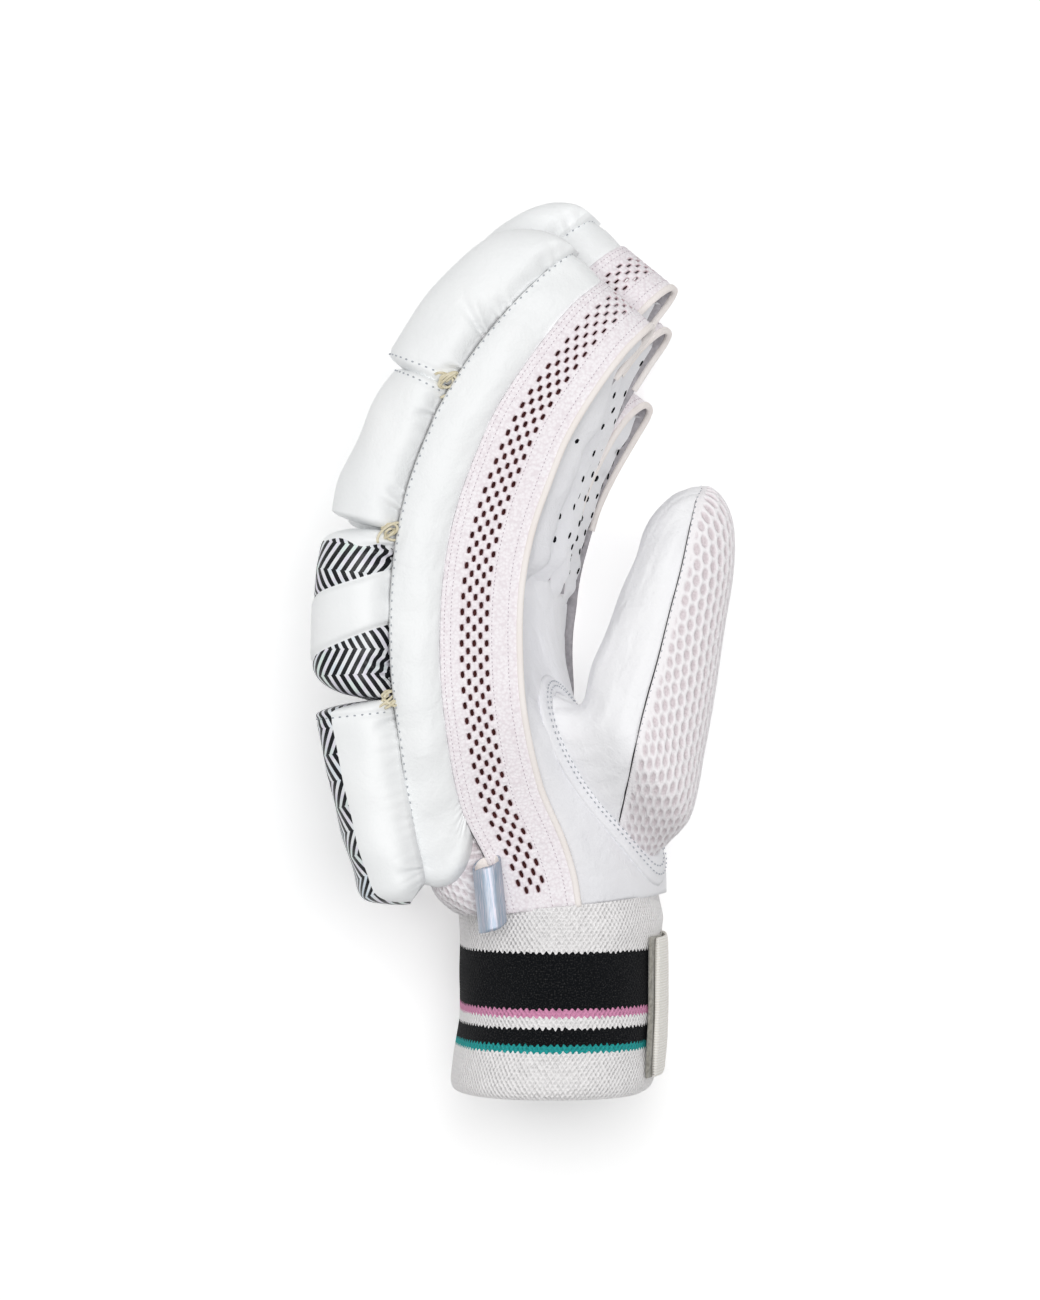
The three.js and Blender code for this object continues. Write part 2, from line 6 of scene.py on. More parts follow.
import bmesh
import bpy
import numpy as np
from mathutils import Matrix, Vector


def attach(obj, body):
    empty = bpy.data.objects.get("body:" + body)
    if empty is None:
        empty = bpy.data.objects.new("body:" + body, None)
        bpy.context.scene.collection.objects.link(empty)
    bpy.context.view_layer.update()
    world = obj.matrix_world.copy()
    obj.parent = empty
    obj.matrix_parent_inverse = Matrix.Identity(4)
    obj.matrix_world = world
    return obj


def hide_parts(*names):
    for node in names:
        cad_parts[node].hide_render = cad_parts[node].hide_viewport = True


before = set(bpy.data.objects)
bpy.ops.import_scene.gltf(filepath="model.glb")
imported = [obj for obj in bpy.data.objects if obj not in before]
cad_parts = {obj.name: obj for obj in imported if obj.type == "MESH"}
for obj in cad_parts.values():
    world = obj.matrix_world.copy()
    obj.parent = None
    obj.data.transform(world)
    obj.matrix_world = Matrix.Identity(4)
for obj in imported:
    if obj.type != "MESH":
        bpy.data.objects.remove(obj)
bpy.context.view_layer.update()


# The studio
# A pale floor, a wide soft light above the glove and a weaker one from the upper left, as in a light
# tent. The camera looks straight down at the thumb side from about a metre and a half.
scene = bpy.context.scene
scene.view_settings.view_transform = "Standard"


def linear(code):
    """An sRGB hex colour as linear RGBA."""
    parts = [int(code[i : i + 2], 16) / 255 for i in (1, 3, 5)]
    return [c / 12.92 if c < 0.04045 else ((c + 0.055) / 1.055) ** 2.4 for c in parts] + [1.0]


def put(tree, kind, settings=None, inputs=None):
    """Adds a node with its settings, and sets or links its inputs. A node given as an input links by its
    first output."""
    node = tree.nodes.new(kind)
    for name, value in (settings or {}).items():
        setattr(node, name, value)
    for name, value in (inputs or {}).items():
        value = value.outputs[0] if isinstance(value, bpy.types.Node) else value
        if isinstance(value, bpy.types.NodeSocket):
            tree.links.new(value, node.inputs[name])
        else:
            node.inputs[name].default_value = value
    return node


world = bpy.data.worlds.new("light_tent")
world.use_nodes = True
world.node_tree.nodes["Background"].inputs["Color"].default_value = linear("#FAFAFA")
world.node_tree.nodes["Background"].inputs["Strength"].default_value = 0.27
scene.world = world

# From 1.5 m over the middle of the glove's depth the lens takes in 390 mm of height
eye_distance, seen_height, middle_depth = 1.5, 0.39, 0.05
lens = bpy.data.cameras.new("camera")
lens.sensor_width = 36
lens.lens = lens.sensor_width * eye_distance / seen_height
lens.clip_start = 0.05
camera = bpy.data.objects.new("camera", lens)
camera.location = (-0.0105, 0.1074, middle_depth + eye_distance)
scene.collection.objects.link(camera)
scene.camera = camera

for name, size, power_w, place in [
    ("light_above", 0.8, 12.6, (0.08, 0.2, 1.4)),
    ("light_left", 0.7, 1.9, (-0.9, 0.7, 0.9)),
]:
    lamp = bpy.data.lights.new(name, "AREA")
    lamp.size = size
    lamp.energy = power_w
    light = bpy.data.objects.new(name, lamp)
    light.location = place
    aim = np.array([-0.01, 0.1, middle_depth]) - np.array(place)
    light.rotation_euler = Vector(aim).to_track_quat("-Z", "Y").to_euler()
    scene.collection.objects.link(light)

floor_mesh = bpy.data.meshes.new("floor")
floor_corners = [(x, y, -0.0003) for x, y in ((-3, -3), (3, -3), (3, 3), (-3, 3))]
floor_mesh.from_pydata(floor_corners, [], [(0, 1, 2, 3)])
floor = bpy.data.objects.new("floor", floor_mesh)
scene.collection.objects.link(floor)
# Seamless white paper: matt, and lifted a little so that it stays white round the glove's soft shadow
paper = bpy.data.materials.new("studio_paper")
paper.use_nodes = True
paper_shader = paper.node_tree.nodes["Principled BSDF"]
paper_shader.inputs["Base Color"].default_value = linear("#F6F6F6")
paper_shader.inputs["Roughness"].default_value = 0.9
paper_shader.inputs["Emission Color"].default_value = linear("#FFFFFF")
paper_shader.inputs["Emission Strength"].default_value = 0.3
floor_mesh.materials.append(paper)


# Back lining
# A hand-shaped lining of spacer mesh carries all the pads and runs up the back of each finger. It is
# knitted in one with open cells, and puffs out as a pouch at the wrist, where no pad covers it.
wrist_height = 29.5  # from the middle of the cuff to the wrist seam
hand_rise = 186.0  # from the wrist seam to the index fingertip
curl_depth = 47.5  # how far the fingertip curls towards the palm side
knuckle_depth = 34.0  # how far the side seam lies behind the cuff's middle at the knuckles
hand_width = 101.0
wrist_width = 87.0
crotch_share = 0.57  # where the fingers part, as a share of the rise
cup_depth = 16.0  # how much further out the little finger lies than the index finger
knuckle_drop = 10.0  # how much lower its knuckle lies
slimming = 0.1  # how much slimmer it is
bar_width = 14.5  # a side wall, from the pads to the gusset
tip_length = 11.0  # the round of a fingertip, as tip_share takes it
wrist_crown = 17.0
first_rise = 0.004  # where the pieces start over the wrist seam, as a share of the rise
lining_wall, lining_inset = 1.6, 2.6
pouch_puff, pouch_rise = 5.5, 0.13
hand_middle = np.array([-12.0, 100.0, 50.0])  # inside the glove, to tell inwards from outwards

# The side view from the wrist seam to the fingertip, by share of the rise. bow: share of the curl's
# depth. tilt: degrees. bar, gusset, heel, lining: shares of their widths and crowns.
side_columns = ("rise", "bow", "tilt", "bar", "gusset", "heel", "lining")
side_rows = np.array([
    (0.0, 0.4, 5, 1.5, 0.93, 0.95, 0.8),
    (0.045, 0.35, 9, 1.5, 0.97, 1.0, 1.0),
    (0.091, 0.275, 14, 1.28, 1.0, 0.98, 1.0),
    (0.169, 0.13, 15, 1.02, 1.03, 0.86, 1.0),
    (0.294, 0.036, 8.5, 0.94, 1.0, 0.52, 1.0),
    (0.403, 0.0, 1.5, 0.98, 1.0, 0.26, 1.0),
    (0.527, 0.017, -6, 1.01, 0.99, 0.12, 1.0),
    (0.637, 0.097, -15, 1.04, 0.99, 0.08, 1.0),
    (0.746, 0.252, -24, 1.03, 0.98, 0.08, 1.0),
    (0.809, 0.374, -29.5, 0.99, 0.95, 0.08, 1.0),
    (0.883, 0.571, -36, 0.94, 0.91, 0.08, 1.0),
    (0.957, 0.803, -40, 0.84, 0.88, 0.08, 1.0),
    (1.0, 1.0, -42, 0.84, 0.83, 0.08, 1.0),
])
fingers = [
    {"name": "index", "length": 1.0, "curl": 0.0},
    {"name": "middle", "length": 1.14, "curl": 3.0},
    {"name": "ring", "length": 1.03, "curl": 4.0},
    {"name": "little", "length": 0.81, "curl": 5.0},
]
column_pitch = (hand_width - 1.4) / len(fingers)
column_half = (column_pitch - 1.0) / 2
for order, finger in enumerate(fingers):
    finger["level"] = hand_width - column_pitch * (order + 0.5)
index, middle, ring, little = fingers


def smooth(share):
    """A share that sets off and arrives softly."""
    share = np.clip(share, 0, 1)
    return share * share * (3 - 2 * share)


def mix(low, high, share):
    return low + (high - low) * share


def power(value, exponent):
    """A power that keeps the sign."""
    return np.sign(value) * np.abs(value) ** exponent


def through(keys, values, at):
    """Values at places along their keys, on one smooth curve. Past the ends it runs straight on."""
    at = np.asarray(at, float)
    i = np.clip(np.searchsorted(keys, at, side="right") - 1, 0, len(keys) - 2)
    before, after = np.maximum(i - 1, 0), np.minimum(i + 2, len(keys) - 1)
    span = (keys[i + 1] - keys[i])[..., None]
    slope_a = span * (values[i + 1] - values[before]) / (keys[i + 1] - keys[before])[..., None]
    slope_b = span * (values[after] - values[i]) / (keys[after] - keys[i])[..., None]
    t = (at[..., None] - keys[i][..., None]) / span
    p = np.clip(t, 0, 1)
    found = values[i] * (2 * p**3 - 3 * p**2 + 1) + values[i + 1] * (3 * p**2 - 2 * p**3)
    found += slope_a * (p**3 - 2 * p**2 + p) + slope_b * (p**3 - p**2)
    return found + (t - p) * (values[i + 1] - values[i])


def side_at(rise):
    found = through(side_rows[:, 0], side_rows, rise)
    return {name: found[..., k] for k, name in enumerate(side_columns)}


def top_level(rise):
    return mix(wrist_width, hand_width, smooth(np.asarray(rise) / 0.36))


def hand_point(rise, out, level, finger=None):
    """A point of the hand: out from the side seam towards the palm, level over the floor."""
    rise, out, level = np.broadcast_arrays(*(np.asarray(v, float) for v in (rise, out, level)))
    row = side_at(rise)
    seam_x = curl_depth * row["bow"] - knuckle_depth
    seam_y = wrist_height + hand_rise * rise
    tilt = np.radians(row["tilt"])
    if finger:
        root = side_at(crotch_share)
        root_x = curl_depth * root["bow"] - knuckle_depth
        root_y = wrist_height + hand_rise * crotch_share
        past = rise > crotch_share
        back = np.where(past, math.radians(finger["curl"]), 0.0)
        length = np.where(past, finger["length"], 1.0)
        dx, dy = seam_x - root_x, seam_y - root_y
        seam_x = root_x + length * (dx * np.cos(back) - dy * np.sin(back))
        seam_y = root_y + length * (dx * np.sin(back) + dy * np.cos(back))
        tilt = tilt + back
    level = np.maximum(0, level)
    across = np.maximum(0, (index["level"] - level) / (index["level"] - little["level"]))
    raised_share = smooth(rise / 0.45)
    slim = 1 - slimming * across**2 * smooth((rise - 0.2) / 0.35)
    x = seam_x + np.cos(tilt) * out * slim + cup_depth * across * raised_share
    y = seam_y + np.sin(tilt) * out * slim - knuckle_drop * across**1.5 * raised_share
    return np.stack([x, y, level], -1)


def grid(first, second):
    return np.meshgrid(first, second, indexing="ij")


def laid(surface, a, b, lift=0.0, inside=hand_middle):
    """Points of a surface, lifted off it away from inside, and the way that it faces there."""
    a, b = np.broadcast_arrays(np.asarray(a, float), np.asarray(b, float))
    step = 0.002
    low_a, high_a = np.clip(a - step, 0, 1), np.clip(a + step, 0, 1)
    low_b, high_b = np.clip(b - step, 0, 1), np.clip(b + step, 0, 1)
    here = surface(a, b)
    facing = np.cross(surface(high_a, b) - surface(low_a, b), surface(a, high_b) - surface(a, low_b))
    facing /= np.linalg.norm(facing, axis=-1, keepdims=True) + 1e-12
    if (facing * (here - inside)).sum() < 0:
        facing = -facing
    return here + facing * np.asarray(lift, float)[..., None], facing


def crumple(u, v, size, seed, waves=7):
    """Soft random folds about size millimetres apart, from about -1 to 1."""
    chance = np.random.default_rng(seed)
    total = 0.0
    for _ in range(waves):
        turn, start = chance.uniform(0, 2 * math.pi, 2)
        pitch = size * chance.uniform(0.7, 1.6)
        total = total + np.sin(2 * math.pi * (u * math.cos(turn) + v * math.sin(turn)) / pitch + start)
    return total / waves**0.5


def sew(name, points, ring_closed=False, uv=None, values=None, inside=None):
    """A smooth mesh over a grid of points in millimetres, with its faces turned away from inside."""
    rows, columns = points.shape[:2]
    order = np.arange(rows * columns).reshape(rows, columns)
    if ring_closed:
        order = np.hstack([order, order[:, :1]])

    def corners_of(table):
        around = [table[:-1, :-1], table[1:, :-1], table[1:, 1:], table[:-1, 1:]]
        return np.stack(around, 2).reshape((-1, 4) + table.shape[2:])

    quads = corners_of(order)
    flat = points.reshape(-1, 3)
    corners = flat[quads]
    facing = np.cross(corners[:, 2] - corners[:, 0], corners[:, 3] - corners[:, 1])
    middle_point = flat.mean(0) if inside is None else np.asarray(inside, float)
    turned = (facing * (corners.mean(1) - middle_point)).sum() < 0
    mesh = bpy.data.meshes.new(name)
    mesh.from_pydata((flat * 0.001).tolist(), [], (quads[:, ::-1] if turned else quads).tolist())
    if uv is not None:
        flat_uv = corners_of(uv)
        flat_uv = flat_uv[:, ::-1] if turned else flat_uv
        mesh.uv_layers.new(name="cloth").data.foreach_set("uv", flat_uv.ravel())
    for key, value in (values or {}).items():
        attribute = mesh.attributes.new(key, "FLOAT", "POINT")
        attribute.data.foreach_set("value", np.asarray(value, float).ravel())
    mesh.polygons.foreach_set("use_smooth", [True] * len(mesh.polygons))
    piece = bpy.data.objects.new(name, mesh)
    scene.collection.objects.link(piece)
    return piece


def weld(piece):
    """Joins points that coincide, at poles and seams."""
    shape = bmesh.new()
    shape.from_mesh(piece.data)
    bmesh.ops.remove_doubles(shape, verts=shape.verts, dist=1e-5)
    bmesh.ops.dissolve_degenerate(shape, edges=shape.edges, dist=1e-6)
    shape.to_mesh(piece.data)
    shape.free()
    return piece


def thicken(piece, wall, inner_slot=0):
    """Gives a sheet its thickness, inwards."""
    solid = piece.modifiers.new("wall", "SOLIDIFY")
    solid.thickness = wall * 0.001
    solid.offset = -1
    solid.use_even_offset = False
    solid.material_offset = inner_slot
    return piece


def dress(piece, material, slot, *nodes):
    """Gives a piece its material, rides it on the glove and names the solids that it stands for."""
    piece.data.materials.append(material)
    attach(piece, "root")
    if nodes:
        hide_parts(*nodes)
    return piece


def begin_material(name):
    material = bpy.data.materials.new(name)
    material.use_nodes = True
    material.node_tree.nodes.clear()
    return material, material.node_tree


def end_material(tree, shader):
    put(tree, "ShaderNodeOutputMaterial", None, {"Surface": shader})


# Knitted polyester spacer mesh: matt white ribs round cells in painted shade, so it reads as a net of ovals.
spacer_mesh, tree = begin_material("spacer_mesh_knitted_polyester")
where = put(tree, "ShaderNodeTexCoord").outputs["Object"]
cell_depth = put(tree, "ShaderNodeAttribute", {"attribute_name": "cell"}).outputs["Fac"]
yarn = put(tree, "ShaderNodeTexNoise", None, {"Vector": where, "Scale": 1600.0, "Detail": 2.0})
# The deeper a point lies in a cell, the darker it is painted: painted shade, mottled by the fine net inside
cell_painted_shade_colour = put(tree, "ShaderNodeMix", {"data_type": "RGBA"}, {
    "Factor": yarn.outputs["Fac"], 6: linear("#C4B8BC"), 7: linear("#EAE2E5")})
mesh_colour = put(tree, "ShaderNodeMix", {"data_type": "RGBA"}, {
    "Factor": cell_depth, 6: linear("#FBF8FA"), 7: cell_painted_shade_colour.outputs[2]})
loops = put(tree, "ShaderNodeTexVoronoi", None, {"Vector": where, "Scale": 1300.0})
loop_bump = put(tree, "ShaderNodeBump", None, {
    "Strength": 0.5, "Distance": 0.0003, "Height": loops.outputs["Distance"]})
end_material(tree, put(tree, "ShaderNodeBsdfPrincipled", None, {
    "Base Color": mesh_colour.outputs[2], "Roughness": 0.85, "Sheen Weight": 0.15, "Normal": loop_bump}))


def cell_share(u, v, across=2.5, along=4.9, half_across=0.95, half_along=1.85):
    """How deep a place lies in the mesh's cells, 0 on the ribs and 1 in a cell. u and v in millimetres."""
    nearest = None
    for shift in (0, 0.5):
        du = u - (np.round(u / (2 * across) - shift) + shift) * 2 * across
        dv = v - (np.round(v / along - shift) + shift) * along
        far = np.hypot(du / half_across, dv / half_along)
        nearest = far if nearest is None else np.minimum(nearest, far)
    return 1 - smooth((nearest - 0.75) / 0.45)


# Across the hand, lining and palm are arcs that turn this far to either side of the middle
bend = math.radians(83)


def across_hand(rise, share, inset, flat):
    """Across the hand, 0 at the thumb side: the level and the swell of its curved section."""
    turn = mix(bend, -bend, share)
    high, low = top_level(rise) - inset, inset
    level = (high + low) / 2 + (high - low) / 2 * np.sin(turn) / math.sin(bend)
    swell = power(np.maximum(0, (np.cos(turn) - math.cos(bend)) / (1 - math.cos(bend))), flat)
    return level, swell


def lining_surface(a, b):
    rise = mix(first_rise, crotch_share, a)
    row = side_at(rise)
    level, swell = across_hand(rise, b, lining_inset, mix(0.5, 0.3, smooth(rise / 0.12)))
    # The pouch puffs out at the thumb side
    puff = np.sin(math.pi * np.clip(rise / pouch_rise, 0, 1) ** 0.6) * np.exp(-((b - 0.05) / 0.35) ** 2)
    out = np.minimum(wrist_crown * row["lining"], bar_width * row["bar"]) * swell
    return hand_point(rise, -out - pouch_puff * puff * swell ** 0.5, level + 2.0 * puff)


def lengths(points):
    """How far each point of a grid lies along its columns and along its rows, in millimetres."""
    u = np.linalg.norm(np.diff(points, axis=1, prepend=points[:, :1]), axis=-1)
    v = np.linalg.norm(np.diff(points, axis=0, prepend=points[:1]), axis=-1)
    return np.cumsum(u, axis=1), np.cumsum(v, axis=0)


a, b = grid(np.linspace(0, 1, 140), np.linspace(0, 1, 205))
u, v = lengths(lining_surface(a, b))
cells = cell_share(u, v, across=1.9, along=3.6, half_across=0.75, half_along=1.35)
points, _ = laid(lining_surface, a, b, -0.55 * cells)
lining = sew("back_lining_mesh", points, uv=np.stack([u, v], -1), values={"cell": cells}, inside=hand_middle)
dress(thicken(lining, lining_wall), spacer_mesh, "spacer_mesh", "back_lining")


def tip_share(length):
    """A measure at the fingertip as a share of the rise. Along the bent tip it comes out 2.4 times as long."""
    return length / (hand_rise * 0.63)


def tip_narrow(rise, tip):
    """The share of its width that a finger still has at a rise, down to nothing at its tip."""
    into = np.clip((rise - tip) / tip_share(tip_length) + 1, 0, 1)
    return (1 - into**2.6) ** (1 / 2.6)


def back_surface(finger):
    inset = 2.75
    tip = 1 - tip_share(inset) - first_rise

    def surface(a, b):
        rise = mix(crotch_share - 0.02, tip, a)
        level = finger["level"] + (column_half - inset) * (2 * b - 1) * tip_narrow(rise, tip)
        return hand_point(rise, -bar_width * side_at(rise)["bar"], level, finger)

    return surface


strip_width, strip_length = 20, 78
for finger in fingers:
    a, b = grid(np.linspace(0, 1, 60), np.linspace(0, 1, 14))
    points, _ = laid(back_surface(finger), a, b)
    cells = cell_share(b * strip_width, a * strip_length)
    strip = sew(f"{finger['name']}_back_mesh", points, values={"cell": cells}, inside=hand_middle)
    dress(thicken(strip, lining_wall), spacer_mesh, "spacer_mesh", "back_lining")


# Palm and finger fronts
# One cut of soft glove leather covers the palm and the four finger fronts. It wrinkles a little where
# the hand bends, and rows of small round holes let the fingers breathe.
def leather(name, light, shade, roughness, grain, crease):
    """A leather's surface: fine grain, a few soft creases and a slightly uneven dye."""
    material, tree = begin_material(name)
    where = put(tree, "ShaderNodeTexCoord").outputs["Object"]
    cloud = put(tree, "ShaderNodeTexNoise", None, {"Vector": where, "Scale": 45.0, "Detail": 3.0})
    colour = put(tree, "ShaderNodeMix", {"data_type": "RGBA"}, {
        "Factor": cloud.outputs["Fac"], 6: linear(light), 7: linear(shade)})
    # Pores about 0.7 mm apart, and creases 6 mm apart
    pores = put(tree, "ShaderNodeTexVoronoi", None, {"Vector": where, "Scale": 1400.0})
    pore_bump = put(tree, "ShaderNodeBump", None, {
        "Strength": grain, "Distance": 0.0002, "Height": pores.outputs["Distance"]})
    creases = put(tree, "ShaderNodeTexNoise", None, {
        "Vector": where, "Scale": 160.0, "Detail": 4.0, "Distortion": 0.6})
    crease_bump = put(tree, "ShaderNodeBump", None, {
        "Strength": crease, "Distance": 0.0012, "Height": creases.outputs["Fac"], "Normal": pore_bump})
    shader = put(tree, "ShaderNodeBsdfPrincipled", None, {
        "Base Color": colour.outputs[2], "Roughness": roughness, "Specular IOR Level": 0.32,
        "Normal": crease_bump})
    end_material(tree, shader)
    return material, tree, shader, colour


# Soft sheepskin dyed white: quite matt, with fine pores, soft creases and a grey cast in its folds
palm_hide, *_ = leather(
    "palm_leather_soft_sheepskin", "#F4F4F6", "#E9E9ED", roughness=0.62, grain=0.3, crease=0.55)


gusset_width = 23.5
flange = 3.2  # how far the palm leather starts inside the gusset's free edge
palm_crown = 28.5  # how far the heel of the hand stands out over that edge
palm_inset, palm_wall = 2.0, 1.4
palm_long, palm_round = 106, 110  # the panel laid flat


def free_edge(rise):
    """How far out the palm leather starts at a rise."""
    return gusset_width * side_at(rise)["gusset"] - flange * smooth(rise / 0.12)


def palm_point(rise, share, depth=0.0):
    level, swell = across_hand(rise, share, palm_inset, 1.0)
    return hand_point(rise, free_edge(rise) + palm_crown * side_at(rise)["heel"] * swell - depth, level)


def palm_surface(a, b):
    return palm_point(mix(first_rise, crotch_share, a), b)


a, b = grid(np.linspace(0, 1, 110), np.linspace(0, 1, 78))
palm_fold = 0.3 * crumple(a * palm_long, b * palm_round, 16, 3)
# Above the heel it creases across
palm_fold += 0.28 * np.abs(crumple(a * 60, b * palm_round, 9, 4)) * smooth((a - 0.3) / 0.3)
points, _ = laid(palm_surface, a, b, palm_fold)
palm = sew("palm_leather_panel", points, inside=hand_middle)
dress(thicken(palm, palm_wall), palm_hide, "palm_leather", "palm_leather")


def palm_edge(rise, level):
    """How far out the palm leather lies at a level."""
    half_level = top_level(rise) / 2
    sine = np.clip((level - half_level) / (half_level - palm_inset), -1, 1) * math.sin(bend)
    swell = (np.sqrt(1 - sine**2) - math.cos(bend)) / (1 - math.cos(bend))
    return free_edge(rise) + palm_crown * side_at(rise)["heel"] * np.maximum(0, swell)


# How far each finger's front puffs out over its neighbours' bindings, as a share of the middle one's
front_puffs = {"index": 0.8, "middle": 1.0, "ring": 0.5, "little": 0.15}


def front_surface(finger):
    inset = 1.95
    start, tip = crotch_share - 0.045, 1 - tip_share(inset) - first_rise

    def surface(a, b):
        rise = mix(start, tip, a)
        narrow = tip_narrow(rise, tip)
        share = 2 * b - 1
        row = side_at(rise)
        # Below the fingertip the leather puffs out over the gussets' bindings
        over = (1 - smooth((rise - 0.84) / 0.1)) * front_puffs[finger["name"]]
        if finger is index:
            over = over * smooth((0.35 - share) / 0.6)
        puff = mix(1.5, 3.0, over) * (1 - share**2) * narrow + 0.9 * over * (1 - share**6)
        out = gusset_width * row["gusset"] - flange * (1 - over) + palm_crown * row["heel"] * (1 - share**2)
        level = finger["level"] + (column_half - mix(inset, 0.2, over)) * share * narrow
        # The root is tucked under the palm panel
        tucked = 1 - smooth((rise - start) / 0.075)
        out = mix(out + puff, palm_edge(rise, level) - 2.2, tucked)
        return hand_point(rise, out, level, finger)

    return surface


# Node tree for anything sewn or punched at even steps along a line: a small bead for each stitch
stitch_tree = bpy.data.node_groups.new("stitch_row", "GeometryNodeTree")
stitch_tree.interface.new_socket("Line", in_out="INPUT", socket_type="NodeSocketGeometry")
for label in ("Pitch", "Length", "Width", "Height"):
    stitch_tree.interface.new_socket(label, in_out="INPUT", socket_type="NodeSocketFloat")
stitch_tree.interface.new_socket("Material", in_out="INPUT", socket_type="NodeSocketMaterial")
stitch_tree.interface.new_socket("Row", in_out="OUTPUT", socket_type="NodeSocketGeometry")
given = put(stitch_tree, "NodeGroupInput").outputs
line = put(stitch_tree, "GeometryNodeMeshToCurve", None, {"Mesh": given["Line"]})
steps = put(stitch_tree, "GeometryNodeResampleCurve", {"mode": "LENGTH"}, {
    "Curve": line, "Length": given["Pitch"]})
along = put(stitch_tree, "FunctionNodeAlignRotationToVector", {"axis": "X"}, {
    "Vector": put(stitch_tree, "GeometryNodeInputTangent").outputs[0]})
facing = put(stitch_tree, "GeometryNodeInputNamedAttribute", {"data_type": "FLOAT_VECTOR"}, {
    "Name": "facing"})
upright = put(stitch_tree, "FunctionNodeAlignRotationToVector", {"axis": "Z", "pivot_axis": "X"}, {
    "Rotation": along, "Vector": facing.outputs["Attribute"]})
bead = put(stitch_tree, "GeometryNodeMeshUVSphere", None, {"Segments": 6, "Rings": 3, "Radius": 0.5})
soft = put(stitch_tree, "GeometryNodeSetShadeSmooth", None, {"Geometry": bead.outputs["Mesh"]})
size = put(stitch_tree, "ShaderNodeCombineXYZ", None, {
    "X": given["Length"], "Y": given["Width"], "Z": given["Height"]})
beads = put(stitch_tree, "GeometryNodeInstanceOnPoints", None, {
    "Points": steps, "Instance": soft, "Rotation": upright, "Scale": size})
real = put(stitch_tree, "GeometryNodeRealizeInstances", None, {"Geometry": beads})
made = put(stitch_tree, "GeometryNodeSetMaterial", None, {
    "Geometry": real, "Material": given["Material"]})
put(stitch_tree, "NodeGroupOutput", None, {"Row": made})


def stitch(name, lines, material, pitch, length, width, height):
    """Rows of beads along lines, each a pair of points and facings in millimetres."""
    places, facings, edges = [], [], []
    for points, ways in lines:
        start = sum(len(p) for p in places)
        places.append(np.asarray(points))
        facings.append(np.asarray(ways))
        edges += [(start + k, start + k + 1) for k in range(len(points) - 1)]
    mesh = bpy.data.meshes.new(name)
    mesh.from_pydata((np.concatenate(places) * 0.001).tolist(), edges, [])
    ways = mesh.attributes.new("facing", "FLOAT_VECTOR", "POINT")
    ways.data.foreach_set("vector", np.concatenate(facings).ravel())
    carrier = bpy.data.objects.new(name, mesh)
    scene.collection.objects.link(carrier)
    modifier = carrier.modifiers.new("row", "NODES")
    modifier.node_group = stitch_tree
    sizes = {"Pitch": pitch, "Length": length, "Width": width, "Height": height}
    for item in stitch_tree.interface.items_tree:
        if item.name in sizes:
            modifier[item.identifier] = sizes[item.name] * 0.001
        elif item.name == "Material":
            modifier[item.identifier] = material
    row = bpy.data.meshes.new_from_object(carrier.evaluated_get(bpy.context.evaluated_depsgraph_get()))
    carrier.modifiers.remove(modifier)
    carrier.data = row
    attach(carrier, "root")


# A punched hole: nothing but shadow, so a dull near-black
hole_dark, tree = begin_material("punched_hole_shadow")
end_material(tree, put(tree, "ShaderNodeBsdfPrincipled", None, {
    "Base Color": linear("#15151A"), "Roughness": 0.95, "Specular IOR Level": 0.1}))


def fibre(name, dark, light, scale, detail, roughness):
    """A matt fibre's surface: two tones mixed by a noise about as fine as the fibre."""
    material, tree = begin_material(name)
    where = put(tree, "ShaderNodeTexCoord").outputs["Object"]
    fine = put(tree, "ShaderNodeTexNoise", None, {"Vector": where, "Scale": scale, "Detail": detail})
    tone = put(tree, "ShaderNodeMix", {"data_type": "RGBA"}, {
        "Factor": fine.outputs["Fac"], 6: linear(dark), 7: linear(light)})
    shader = put(tree, "ShaderNodeBsdfPrincipled", None, {
        "Base Color": tone.outputs[2], "Roughness": roughness})
    end_material(tree, shader)
    return material, tree, shader, fine


# Polyester thread sunk in leather: pale grey in its own shade
thread_grey, *_ = fibre(
    "sewing_thread_sunk_grey", "#8F959C", "#C9CDD2", scale=900.0, detail=2.0, roughness=0.8)


def front_fold(finger, a, b):
    """Soft folds of a finger's front, in millimetres."""
    return 0.45 * crumple(a * 92, b * 9, 16, 20 + len(finger["name"])) * np.sin(math.pi * b) ** 0.5


hole_shares = (0.25, 0.53, 0.82)  # across a finger
for finger in fingers:
    surface = front_surface(finger)
    chance = np.random.default_rng(len(finger["name"]))
    a, b = grid(np.linspace(0, 1, 100), np.linspace(0, 1, 26))
    points, _ = laid(surface, a, b, front_fold(finger, a, b))
    front = sew(f"{finger['name']}_front_leather", points, inside=hand_middle)
    dress(thicken(front, palm_wall), palm_hide, "palm_leather", "palm_leather")
    rows = []
    for place in np.linspace(0.2, 0.9, 8):
        for share in hole_shares:
            # The middle row is set half a step on
            step_on = 0.042 if share == hole_shares[1] else 0.0
            at_a = place + step_on + chance.uniform(-0.008, 0.008)
            at_b = share + chance.uniform(-0.02, 0.02)
            ends = at_a + np.array([0, 0.001])
            lift = front_fold(finger, ends, np.full(2, at_b)) + 0.05
            rows.append(laid(surface, ends, np.full(2, at_b), lift))
    # A pitch longer than a row gives each row a single hole
    stitch(f"{finger['name']}_front_holes", rows, hole_dark,
           pitch=50, length=2.3, width=1.9, height=0.5)


# Gussets
# Each finger's side is a strip of open warp knit that runs up one side, over the tip and down the
# other. Its back half has five rows of holes; its free edge is folded over and bound with tape.

# Open warp knit: matt white loops, with painted shade between them and a faintly pink painted shade round its
# holes
knit_white, tree = begin_material("gusset_knit_warp_polyester")
where = put(tree, "ShaderNodeTexCoord").outputs["Object"]
hole_rim_painted_shade = put(tree, "ShaderNodeAttribute", {"attribute_name": "cell"}).outputs["Fac"]
patchy = put(tree, "ShaderNodeTexNoise", None, {"Vector": where, "Scale": 60.0, "Detail": 2.0})
knit_light = put(tree, "ShaderNodeMix", {"data_type": "RGBA"}, {
    "Factor": patchy.outputs["Fac"], 6: linear("#FDFBFD"), 7: linear("#F8F1F5")})
